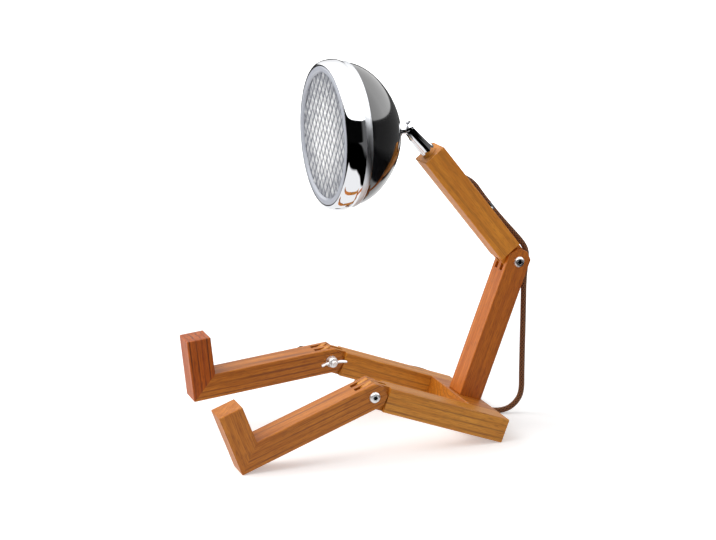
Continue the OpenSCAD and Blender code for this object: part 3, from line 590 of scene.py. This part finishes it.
# %% Modelling helpers
TINY = 1e-6


def deselect():
    """Leaves nothing selected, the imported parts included."""
    bpy.ops.object.select_all(action="DESELECT")


def edit_mode(on):
    """Enters edit mode, or leaves it."""
    bpy.ops.object.mode_set(mode="EDIT" if on else "OBJECT")


def turned(name, profile, steps=96, closed=False, base=False):
    """Turns a profile of (radius, height) about Z. A closed profile returns to its start."""
    deselect()
    radius, height = profile[0]
    bpy.ops.mesh.primitive_circle_add(vertices=steps, radius=radius, location=(0, 0, height),
                                      fill_type="NGON" if base else "NOTHING")
    piece = bpy.context.object
    piece.name = piece.data.name = name
    edit_mode(True)
    bpy.ops.mesh.select_all(action="SELECT")
    rings = list(profile) + ([profile[0]] if closed else [])
    for (r0, h0), (r1, h1) in zip(rings, rings[1:]):
        bpy.ops.mesh.extrude_edges_move(TRANSFORM_OT_translate={"value": (0, 0, h1 - h0)})
        grow = r1 / r0
        bpy.ops.transform.resize(value=(grow, grow, 1), center_override=(0, 0, h1))
    if rings[-1][0] < TINY:
        bpy.ops.mesh.merge(type="CENTER")
    bpy.ops.mesh.select_all(action="SELECT")
    bpy.ops.mesh.remove_doubles(threshold=TINY)
    bpy.ops.mesh.normals_make_consistent(inside=False)
    edit_mode(False)
    return piece


def settle(piece, place, smooth):
    """Smooths up to this many degrees, carries the piece to its place, and applies it."""
    deselect()
    piece.select_set(True)
    bpy.context.view_layer.objects.active = piece
    bpy.ops.object.shade_smooth_by_angle(angle=radians(smooth))
    piece.matrix_world = place @ piece.matrix_world
    bpy.context.view_layer.update()
    bpy.ops.object.transform_apply()
    return piece


def apply_modifier(piece, kind, **settings):
    """Adds a modifier with these settings and applies it."""
    deselect()
    piece.select_set(True)
    bpy.context.view_layer.objects.active = piece
    modifier = piece.modifiers.new(kind.lower(), kind)
    for key, value in settings.items():
        setattr(modifier, key, value)
    bpy.ops.object.modifier_apply(modifier=modifier.name)


def cut(piece, tool, operation="DIFFERENCE"):
    """Cuts the piece with a tool object, which is then removed."""
    apply_modifier(piece, "BOOLEAN", object=tool, operation=operation, solver="EXACT")
    bpy.data.objects.remove(tool, do_unlink=True)


def joined(name, pieces):
    """Joins finished parts of one piece into one object."""
    deselect()
    for piece in pieces:
        piece.select_set(True)
    bpy.context.view_layer.objects.active = pieces[0]
    bpy.ops.object.join()
    pieces[0].name = pieces[0].data.name = name
    return pieces[0]


def copied(original, name, place):
    """A copy with a mesh of its own, carried to its place."""
    copy = original.copy()
    copy.data = original.data.copy()
    copy.name = copy.data.name = name
    bpy.context.collection.objects.link(copy)
    return settle(copy, place, 40)


def fit(piece, body, slot, material, *replaced):
    """Dresses a finished piece, sets the body it rides, and hides what it stands for."""
    dress(piece, material)
    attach(piece, body)
    if replaced:
        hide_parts(*replaced)
    print(piece.name, "on", body, "-", len(piece.data.polygons), "faces")
    return piece


def arc(centre, radius, start, end, count):
    """Profile points on an arc, from one angle to another in degrees."""
    return [(centre[0] + radius * cos(radians(start + (end - start) * i / count)),
             centre[1] + radius * sin(radians(start + (end - start) * i / count)))
            for i in range(count + 1)]


def in_mm(points):
    """Profile points given in millimetres, in metres."""
    return [(r * MM, h * MM) for r, h in points]


# %% [markdown]
# ## Headlamp
# The lamp's head is a motorcycle headlamp. A deep bowl of black enamelled steel
# carries a chrome rim with a rolled front, a narrow bead fills the gap between
# them, and a black gasket seals the glass. The rim's front is a quarter of an
# oval, which a profile gives exactly. A bevelled ring would only come near it.

# %% Chrome rim
RIM_STEPS = 128
RIM_R, LIP_R = 62.25, 57.8
RIM_EDGE, RIM_BULGE = 66, 11.6
rim_front = [(LIP_R + (RIM_R - LIP_R) * sin(radians(t)), RIM_EDGE + RIM_BULGE * cos(radians(t)))
             for t in range(0, 91, 5)]
rim_profile = rim_front + [(62.1, 65.0), (61.7, 63.6), (61.05, 62.0), (59.9, 62.0), (60.9, 66.0),
                           (60.0, 70.0), (58.6, 72.8), (54.0, 72.8), (54.0, 74.0), (57.8, 74.0)]
rim = turned("headlamp_rim", in_mm(rim_profile), steps=RIM_STEPS, closed=True)
settle(rim, HEAD, 30)
fit(rim, "head", "chrome", chrome, "bezel")

bead_profile = [(58.0, 55.8), (59.0, 55.8), (59.6, 56.0), (60.1, 56.6), (60.35, 57.4),
                (60.35, 60.9), (60.1, 61.5), (59.7, 61.9), (58.0, 61.9)]
bead = turned("headlamp_bead", in_mm(bead_profile), steps=RIM_STEPS, closed=True)
settle(bead, HEAD, 30)
fit(bead, "head", "chrome", satin, "bezel_bead")

# %% [markdown]
# The shell is spun from one disc of steel, rounder than a cone and more pointed
# than a ball. A circle's profile with its sine and cosine raised to a power a
# little over one gives that form, and a smaller one inside it gives the wall.

# %% Enamelled shell
SHELL_R, SHELL_L, SHELL_RIM = 58.75, 43.2, 55.5
SHELL_WALL, STUD_HOLE_R, COLLAR_R, COLLAR_END = 1.2, 3.1, 57.85, 68.0
POWER = 2 / 1.7


def bowl(radius, length):
    """The bowl's profile from its back to its rim."""
    return [(radius * cos(radians(t)) ** POWER, SHELL_RIM - length * sin(radians(t)) ** POWER)
            for t in (87, 84, 80, 75, 70, 65, 60, 55, 50, 45, 40, 35, 30, 25, 20, 15, 10, 6, 3, 0)]


shell_back = SHELL_RIM - SHELL_L
shell_profile = ([(STUD_HOLE_R, shell_back)] + bowl(SHELL_R, SHELL_L)
                 + [(COLLAR_R, SHELL_RIM), (COLLAR_R, COLLAR_END),
                    (COLLAR_R - SHELL_WALL, COLLAR_END)]
                 + list(reversed(bowl(SHELL_R - SHELL_WALL, SHELL_L - SHELL_WALL)))
                 + [(STUD_HOLE_R, shell_back + SHELL_WALL)])
shell = turned("headlamp_shell", in_mm(shell_profile), steps=RIM_STEPS, closed=True)
settle(shell, HEAD, 30)
fit(shell, "head", "shell_paint", enamel, "head_shell")

# %% [markdown]
# ## Pressed glass
# The glass is pressed in a mould. Its flange is smooth, and its window is sunk
# and covered with diamond prisms that spread the light. A bump map would leave
# the pane flat to a ray that grazes it. A grid turned to lie on its corners, with
# every face poked out to a point, gives real prisms.

# %% Headlamp glass
PRISM_RISE, PANE_T, PANE_BACK, PANE_AT = 1.5 * MM, 2.0 * MM, -1.2 * MM, 75.4 * MM
CELLS = 24
glass_ring = turned("headlamp_glass", in_mm([
    (51.4, 76.2), (52.3, 77.5), (53.1, 78.0), (56.0, 78.0), (56.7, 77.7), (57.0, 77.0),
    (57.0, 74.05), (51.4, 74.05)]), steps=RIM_STEPS, closed=True)

deselect()
bpy.ops.mesh.primitive_grid_add(x_subdivisions=CELLS, y_subdivisions=CELLS, size=CELLS * DIAMOND)
prisms = bpy.context.object
prisms.rotation_euler = (0, 0, radians(45))
bpy.ops.object.transform_apply(location=False, rotation=True, scale=False)
prisms.scale = (DIAMOND_W, DIAMOND_H, 1)
bpy.ops.object.transform_apply(location=False, rotation=False, scale=True)
edit_mode(True)
bpy.ops.mesh.select_all(action="SELECT")
bpy.ops.mesh.poke(offset=PRISM_RISE)
bpy.ops.mesh.select_all(action="SELECT")
bpy.ops.mesh.extrude_region_move(TRANSFORM_OT_translate={"value": (0, 0, -PANE_T)})
bpy.ops.transform.resize(value=(1, 1, 0), center_override=(0, 0, PANE_BACK))
bpy.ops.mesh.select_all(action="SELECT")
bpy.ops.mesh.normals_make_consistent(inside=False)
edit_mode(False)
deselect()
bpy.ops.mesh.primitive_cylinder_add(vertices=RIM_STEPS, radius=WINDOW_R, depth=20 * MM)
cut(prisms, bpy.context.object, "INTERSECT")
prisms.location = (0, 0, PANE_AT)
bpy.ops.object.transform_apply(location=True, rotation=False, scale=False)
glass = joined("headlamp_glass", [glass_ring, prisms])
settle(glass, HEAD, 12)
fit(glass, "head", "lens_glass", pressed_glass, "lens")

# %% [markdown]
# The rest of the head is hidden behind the glass or inside the shell. The
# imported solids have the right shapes, so they only get their finishes.

# %% Inside the headlamp
inner_finishes = {"lens_gasket": gasket_rubber, "reflector": mirror_coat, "lampholder": ceramic,
                  "bulb_glass": opal, "bulb_base": brass, "head_lead": flex_plastic,
                  "shell_nut": zinc, "bezel_screw": zinc}
for name, material in inner_finishes.items():
    dress(nodes[name], material)
print("inside of the head:", len(inner_finishes), "parts dressed")

# %% [markdown]
# ## Neck
# A chrome tube holds a steel ball between a brass seat and a domed cap. The
# head's stud comes out through a slot down the tube's front, so the head nods in
# the slot and the whole neck swivels on its threaded nipple. Without the slot,
# the stud would cut through the tube when the head nods.

# %% Neck tube, cap and stud
SLOT_R, SLOT_LOW = 3.7 * MM, 22.7 * MM
SLOT_DEEP, SLOT_STRETCH = 13 * MM, 17 * MM
TUBE_R, NECK_L, DOME_H = 6.5, 29, 4.8
BALL_AT, SOCKET_BALL_R = 26.5, 5.1


def cut_slot(piece):
    """Cuts the stud's slot: a round end, stretched up past the top of the neck."""
    deselect()
    bpy.ops.mesh.primitive_cylinder_add(vertices=48, radius=SLOT_R, depth=SLOT_DEEP,
                                        location=(0, -SLOT_DEEP / 2, SLOT_LOW),
                                        rotation=(radians(90), 0, 0))
    slot = bpy.context.object
    bpy.ops.object.transform_apply()
    edit_mode(True)
    bpy.ops.mesh.select_mode(type="VERT")
    bpy.ops.mesh.select_all(action="DESELECT")
    edit_mode(False)
    for vertex in slot.data.vertices:
        vertex.select = vertex.co.z > SLOT_LOW + 0.1 * MM
    edit_mode(True)
    bpy.ops.transform.translate(value=(0, 0, SLOT_STRETCH))
    edit_mode(False)
    cut(piece, slot)


tube = turned("neck_sleeve", in_mm([
    (5.05, 0.2), (6.1, 0.2), (6.4, 0.35), (6.5, 0.65), (6.5, 28.7), (6.35, 28.95), (5.95, 28.95),
    (5.95, 27.6), (5.4, 27.6), (5.4, 13.0), (5.05, 13.0)]), steps=64, closed=True)
cut_slot(tube)
settle(tube, NECK, 40)
fit(tube, "neck", "chrome", chrome, "neck_tube")

dome_arc = [(TUBE_R * cos(radians(t)), NECK_L + DOME_H * sin(radians(t)))
            for t in range(3, 85, 6)]
cap = turned("neck_dome", in_mm(
    [(5.1, 27.7), (5.9, 27.7), (5.9, 29.0), (6.35, 29.05)] + dome_arc
    + [(0.5, 33.75), (0.5, 31.6)] + arc((0, BALL_AT), SOCKET_BALL_R, 80, 18, 8)),
    steps=64, closed=True)
cut_slot(cap)
deselect()
bpy.ops.mesh.primitive_cylinder_add(vertices=50, radius=SLOT_R - 0.01 * MM, depth=SLOT_DEEP,
                                    location=(0, 0, 33 * MM))
cut(cap, bpy.context.object)
settle(cap, NECK, 40)
fit(cap, "neck", "chrome", chrome, "neck_cap")

collar = turned("stud_ring", in_mm([
    (3.52, 9.4), (4.6, 9.4), (5.05, 9.6), (5.2, 10.0), (5.2, 12.25), (3.52, 12.25)]),
    steps=48, closed=True)
settle(collar, HEAD, 40)
fit(collar, "head", "chrome", chrome, "stud_collar")
dress(nodes["swivel_ball"], chrome)
dress(nodes["ball_seat"], brass)
dress(nodes["neck_nipple"], brass)

# %% [markdown]
# ## Bolts and wing nuts
# Each joint is clamped by a button-head bolt with a hexagon socket, a washer and
# a wing nut. One bolt and one wing nut are modelled, and each joint gets a copy
# with a mesh of its own. The socket is cut with a six-sided cylinder and its
# faces are painted near-black as painted shade in the recess, because a bare one
# would mirror the bright studio.

# %% Button-head bolt
HEX_R, HEX_DEEP, HEX_AT = 1.95 * MM, 4 * MM, 2.5 * MM
SOCKET_R, SOCKET_TOP = 2.0 * MM, 2.5 * MM
bolt_profile = ([(1.9, -33.5), (2.5, -32.9), (2.5, 0), (4.7, 0), (4.75, 0.25), (4.72, 0.7)]
                + [(2.3 + 2.42 * cos(radians(t)), 0.7 + 2.05 * sin(radians(t)))
                   for t in range(10, 91, 10)] + [(0, 2.75)])
bolt = turned("button_bolt", in_mm(bolt_profile), steps=48, base=True)
deselect()
bpy.ops.mesh.primitive_cylinder_add(vertices=6, radius=HEX_R, depth=HEX_DEEP,
                                    location=(0, 0, HEX_AT))
cut(bolt, bpy.context.object)
apply_modifier(bolt, "BEVEL", width=0.12 * MM, segments=2, limit_method="ANGLE",
               angle_limit=radians(50))
# Near-black painted shade for the socket's faces, where a recess would be dark.
socket_painted_shade = moulded("painted_shade_socket", "#0B0D0C", 0.5, 0.0005)
bolt_places = {"knee_bolt_left": (1, HIP_W / 2, knee, "shin_left"),
               "knee_bolt_right": (-1, -HIP_W / 2, knee, "shin_right"),
               "waist_bolt": (1, TIMBER_W / 2, waist, "base")}


def bolt_frame(side, x, pin):
    """A bolt's frame: its head's side is +Z, and the outer cheek is at zero."""
    return limb(x, pin, 0) @ Matrix.Rotation(radians(90 * side), 4, "Y")


for name, (side, x, pin, body) in bolt_places.items():
    copy = copied(bolt, name.replace("bolt", "button"), bolt_frame(side, x, pin))
    fit(copy, body, "fastener_steel", zinc, name)
    # The faces inside the socket take the painted shade.
    copy.data.materials.append(socket_painted_shade)
    for face, kept in zip(copy.data.polygons, bolt.data.polygons):
        x, y, z = bolt.matrix_world @ kept.center
        face.material_index = int(x * x + y * y < SOCKET_R ** 2 and 0 < z < SOCKET_TOP)
    print("socket faces:", sum(face.material_index for face in copy.data.polygons))
bpy.data.objects.remove(bolt, do_unlink=True)

# %% [markdown]
# A wing nut is forged: a round hub with two ears that sweep out and up to thin
# rounded tips. Each ear starts as a small box, its outer face is drawn out three
# times, and a subdivision surface rounds it into the hub.

# %% Wing nut
NUT_AT = -25 * MM
EAR_X, EAR_Z, EAR_BOX = 4 * MM, 2.9 * MM, (2.4 * MM, 2.6 * MM, 4.4 * MM)
# Each draw of an ear: its rise and reach in millimetres, and how much taller it gets.
EAR_DRAWS, EAR_THIN = ((1.2, 2.4, 0.95), (2.0, 2.6, 1.28), (1.0, 1.7, 0.62)), 0.93
hub = turned("wing_nut_hub", in_mm([
    (2.55, 0), (4.4, 0), (4.75, 0.3), (4.6, 1.4), (4.05, 4.9), (3.8, 5.4), (3.4, 5.5), (2.9, 5.5),
    (2.55, 5.2)]), steps=48, closed=True)
ears = []
for way in (1, -1):
    deselect()
    bpy.ops.mesh.primitive_cube_add(size=1, location=(way * EAR_X, 0, EAR_Z))
    ear = bpy.context.object
    ear.scale = EAR_BOX
    bpy.ops.object.transform_apply()
    edit_mode(True)
    bpy.ops.mesh.select_mode(type="FACE")
    for rise, out, taller in EAR_DRAWS:
        bpy.ops.mesh.select_all(action="DESELECT")
        edit_mode(False)
        far = max(ear.data.polygons, key=lambda face: way * face.center.x)
        far.select = True
        centre = far.center.copy()
        edit_mode(True)
        bpy.ops.mesh.extrude_region_move(
            TRANSFORM_OT_translate={"value": (way * out * MM, 0, rise * MM)})
        bpy.ops.transform.resize(value=(1, EAR_THIN, taller),
                                 center_override=centre + Vector((way * out, 0, rise)) * MM)
    edit_mode(False)
    apply_modifier(ear, "SUBSURF", levels=3, render_levels=3)
    ears.append(ear)
wing_nut = joined("wing_nut", [hub] + ears)
nut_places = {"wing_nut_left": (1, HIP_W / 2, knee, 90),
              "wing_nut_right": (-1, -HIP_W / 2, knee, 86),
              "wing_nut_waist": (1, TIMBER_W / 2, waist, 20)}
for name, (side, x, pin, turn) in nut_places.items():
    flip = (Matrix.Translation((0, 0, NUT_AT)) @ Matrix.Rotation(radians(turn), 4, "Z")
            @ Matrix.Rotation(radians(180), 4, "X"))
    copy = copied(wing_nut, name.replace("wing_nut", "wing_screw"),
                  bolt_frame(side, x, pin) @ flip)
    fit(copy, name, "fastener_steel", zinc, name)
bpy.data.objects.remove(wing_nut, do_unlink=True)
for name in ("washer_left", "washer_right", "washer_waist", "torso_screws", "clip_screws",
             "plug_pins"):
    dress(nodes[name], zinc)

# %% [markdown]
# ## Small parts on the cord
# The clip is a bent and plated steel saddle. The switch and the plug are brown
# mouldings, and a black strap ties the coil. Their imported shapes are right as
# they are, so they only get their finishes.

# %% Clip, switch, plug and tie
small_finishes = {"cable_clip": chrome, "coil_tie": strap_rubber, "seat_dowels": dowel_wood,
                  "switch_body": switch_plastic, "switch_rocker": switch_plastic,
                  "plug_relief": plug_plastic, "plug_body": plug_plastic}
for name, material in small_finishes.items():
    dress(nodes[name], material)
print("small parts dressed:", len(small_finishes))

# %% [markdown]
# ## Studio
# The lamp stands on a pale floor under a soft overhead light. The floor and the
# background are white to the camera, and the floor still takes the soft shadows.
# What metal mirrors is set apart from what lights the wood: a broad bright
# ceiling, a card at one side and, low down in front, the dark studio. Real cards
# around the table could do that too, but they would change the light on the wood.
# Directions are the world's own, so nothing follows the camera when it moves.

# %% Levels of the studio
VIEW_AZ = 69.7
# The floor's glow and the metres over which it grows, then the mirrored table's edge.
FLOOR_LIFT, LIFT_NEAR, LIFT_FAR = 0.36, 0.35, 1.0
TABLE_FADE, TABLE_SKEW = 0.04, 1.5
DOME_LEAN, DOME_LOW, DOME_HIGH = (-0.45, -0.45, 0.77), 0.1, 0.75
TENT_LEAN, TENT_RISE, TENT_EDGE = 0.25, 0.30, 0.02
TENT_LEVEL, TENT_FAR = 2.4, 0.4
DARK_LEVEL, SIDE_GREY = 0.002, 0.12

# %% [markdown]
# The floor is matt and white. To the camera it also glows a little, so that it
# stays white around the shadows. To a mirror it is a bright table with soft
# edges, and dark beyond them.

# %% Floor
floor_material, ground, floor_shader, floor_place = finish("white_studio_floor", "#F4F4F4", 0.9)
floor_shader.inputs["Specular IOR Level"].default_value = 0.0
rays = add(ground, "ShaderNodeLightPath")
away = add(ground, "ShaderNodeVectorMath", {0: floor_place}, operation="LENGTH").outputs[1]
glow = add(ground, "ShaderNodeMapRange", {
    0: away, 1: LIFT_NEAR, 2: LIFT_FAR, 3: FLOOR_LIFT, 4: 1.0}).outputs[0]
lift = add(ground, "ShaderNodeMath", {0: rays.outputs["Is Camera Ray"], 1: glow},
           operation="MULTIPLY").outputs[0]
floor_shader.inputs["Emission Color"].default_value = (1, 1, 1, 1)
ground.links.new(lift, floor_shader.inputs["Emission Strength"])
spot = add(ground, "ShaderNodeSeparateXYZ", {0: floor_place})
table = 1.0
behind = add(ground, "ShaderNodeMath", {0: spot.outputs[1], 1: 0.0},
             operation="MAXIMUM").outputs[0]
corner = add(ground, "ShaderNodeMath", {0: behind, 1: TABLE_SKEW, 2: spot.outputs[0]},
             operation="MULTIPLY_ADD").outputs[0]
# Each edge of the table: what it is measured on, where it is, and which way is inside.
table_edges = [(spot.outputs[0], -0.7, 1), (corner, 0.33, -1), (spot.outputs[1], -0.47, 1),
               (spot.outputs[1], 0.5, -1)]
for place, edge, inside in table_edges:
    fade = add(ground, "ShaderNodeMapRange", {
        0: place, 1: edge, 2: edge + inside * TABLE_FADE}).outputs[0]
    table = add(ground, "ShaderNodeMath", {0: fade, 1: table}, operation="MULTIPLY").outputs[0]
beside = add(ground, "ShaderNodeMapRange", {
    0: spot.outputs[1], 1: 0.5, 2: 0.9, 4: SIDE_GREY}).outputs[0]
bright = add(ground, "ShaderNodeMath", {0: table, 1: beside}, operation="MAXIMUM").outputs[0]
mirrored = add(ground, "ShaderNodeEmission", {"Strength": bright})
surface = add(ground, "ShaderNodeMixShader", {
    0: rays.outputs["Is Glossy Ray"], 1: floor_shader.outputs[0], 2: mirrored.outputs[0]})
floor_output = ground.nodes["Material Output"]
ground.links.new(surface.outputs[0], floor_output.inputs["Surface"])
deselect()
bpy.ops.mesh.primitive_plane_add(size=12)
floor = bpy.context.object
floor.name = floor.data.name = "studio_floor"
dress(floor, floor_material)
print("floor laid")

# %% [markdown]
# The world is three rooms in one. Matt surfaces see a dome, brighter on one side,
# that shades the wood. The camera sees plain white. Metal and glass see a tent:
# a bright ceiling that slopes down behind the lamp, a card, and a dark horizon.

# %% World
world = bpy.data.worlds.new("studio")
bpy.context.scene.world = world
world.use_nodes = True
sky = world.node_tree
sky.nodes.clear()
path = add(sky, "ShaderNodeLightPath")
direction = add(sky, "ShaderNodeTexCoord").outputs["Generated"]
height = add(sky, "ShaderNodeSeparateXYZ", {0: direction}).outputs[2]
front = (sin(radians(VIEW_AZ)), -cos(radians(VIEW_AZ)), 0)
ahead = add(sky, "ShaderNodeVectorMath", {0: direction, 1: front},
            operation="DOT_PRODUCT").outputs[1]
bright_way = add(sky, "ShaderNodeVectorMath", {0: direction, 1: DOME_LEAN},
                 operation="DOT_PRODUCT").outputs[1]
dome = add(sky, "ShaderNodeMapRange", {
    0: bright_way, 1: -1.0, 2: 1.0, 3: DOME_LOW, 4: DOME_HIGH}).outputs[0]
leaned = add(sky, "ShaderNodeMath", {0: ahead, 1: -TENT_LEAN, 2: height},
             operation="MULTIPLY_ADD").outputs[0]
above = add(sky, "ShaderNodeMapRange", {
    0: leaned, 1: TENT_RISE, 2: TENT_RISE + TENT_EDGE}).outputs[0]
far_level = add(sky, "ShaderNodeMapRange", {
    0: ahead, 1: -0.95, 2: -0.3, 3: TENT_LEVEL * TENT_FAR, 4: TENT_LEVEL}).outputs[0]
sideways = add(sky, "ShaderNodeSeparateXYZ", {0: direction}).outputs[1]
# Below the ceiling it is dark, and grey towards the lamp's back.
side_level = add(sky, "ShaderNodeMapRange", {
    0: sideways, 1: 0.4, 2: 0.75, 3: DARK_LEVEL, 4: SIDE_GREY}).outputs[0]
# The card stands behind the lamp, towards its front.
card_side = add(sky, "ShaderNodeMapRange", {0: sideways, 1: -0.22, 2: -0.32}).outputs[0]
card_far = add(sky, "ShaderNodeMapRange", {0: ahead, 1: -0.2, 2: -0.35}).outputs[0]
card = add(sky, "ShaderNodeMath", {0: card_side, 1: card_far}, operation="MULTIPLY").outputs[0]
lit = add(sky, "ShaderNodeMath", {0: above, 1: card}, operation="MAXIMUM").outputs[0]
# A narrow dark flag stands straight behind the lamp.
flag = add(sky, "ShaderNodeMapRange", {0: ahead, 1: -0.985, 2: -0.975}).outputs[0]
lit = add(sky, "ShaderNodeMath", {0: lit, 1: flag}, operation="MULTIPLY").outputs[0]
softbox = add(sky, "ShaderNodeMix", {0: lit, 2: side_level, 3: far_level}).outputs[0]
mirrored = add(sky, "ShaderNodeMath", {0: path.outputs["Is Glossy Ray"],
                                       1: path.outputs["Is Transmission Ray"]},
               operation="MAXIMUM").outputs[0]
light_level = add(sky, "ShaderNodeMix", {0: mirrored, 2: dome, 3: softbox}).outputs[0]
level = add(sky, "ShaderNodeMix", {
    0: path.outputs["Is Camera Ray"], 2: light_level, 3: 1.0}).outputs[0]
background = add(sky, "ShaderNodeBackground", {"Color": (1, 1, 1, 1), "Strength": level})
add(sky, "ShaderNodeOutputWorld", {"Surface": background.outputs[0]})
print("world built")

# %% [markdown]
# One large soft lamp, high on the lamp's front, gives the shadows their direction.
# Metal doesn't mirror it, because the tent has the bright shapes that metal needs.

# %% Key light
KEY_AT, KEY_AIM = (-0.3, -1.3, 1.25), (0, 0, 0.12)
KEY_SIZE, KEY_WATTS = 2.2, 33
key = bpy.data.objects.new("key", bpy.data.lights.new("key", "AREA"))
bpy.context.collection.objects.link(key)
key.data.size, key.data.energy = KEY_SIZE, KEY_WATTS
key.location = KEY_AT
key.rotation_euler = (Vector(KEY_AIM) - Vector(KEY_AT)).to_track_quat("-Z", "Y").to_euler()
key.visible_glossy = False
print("studio ready")

# %% [markdown]
# ## Finish
# The picture uses the plain view transform.

# %% Finish
bpy.context.scene.view_settings.view_transform = "Standard"
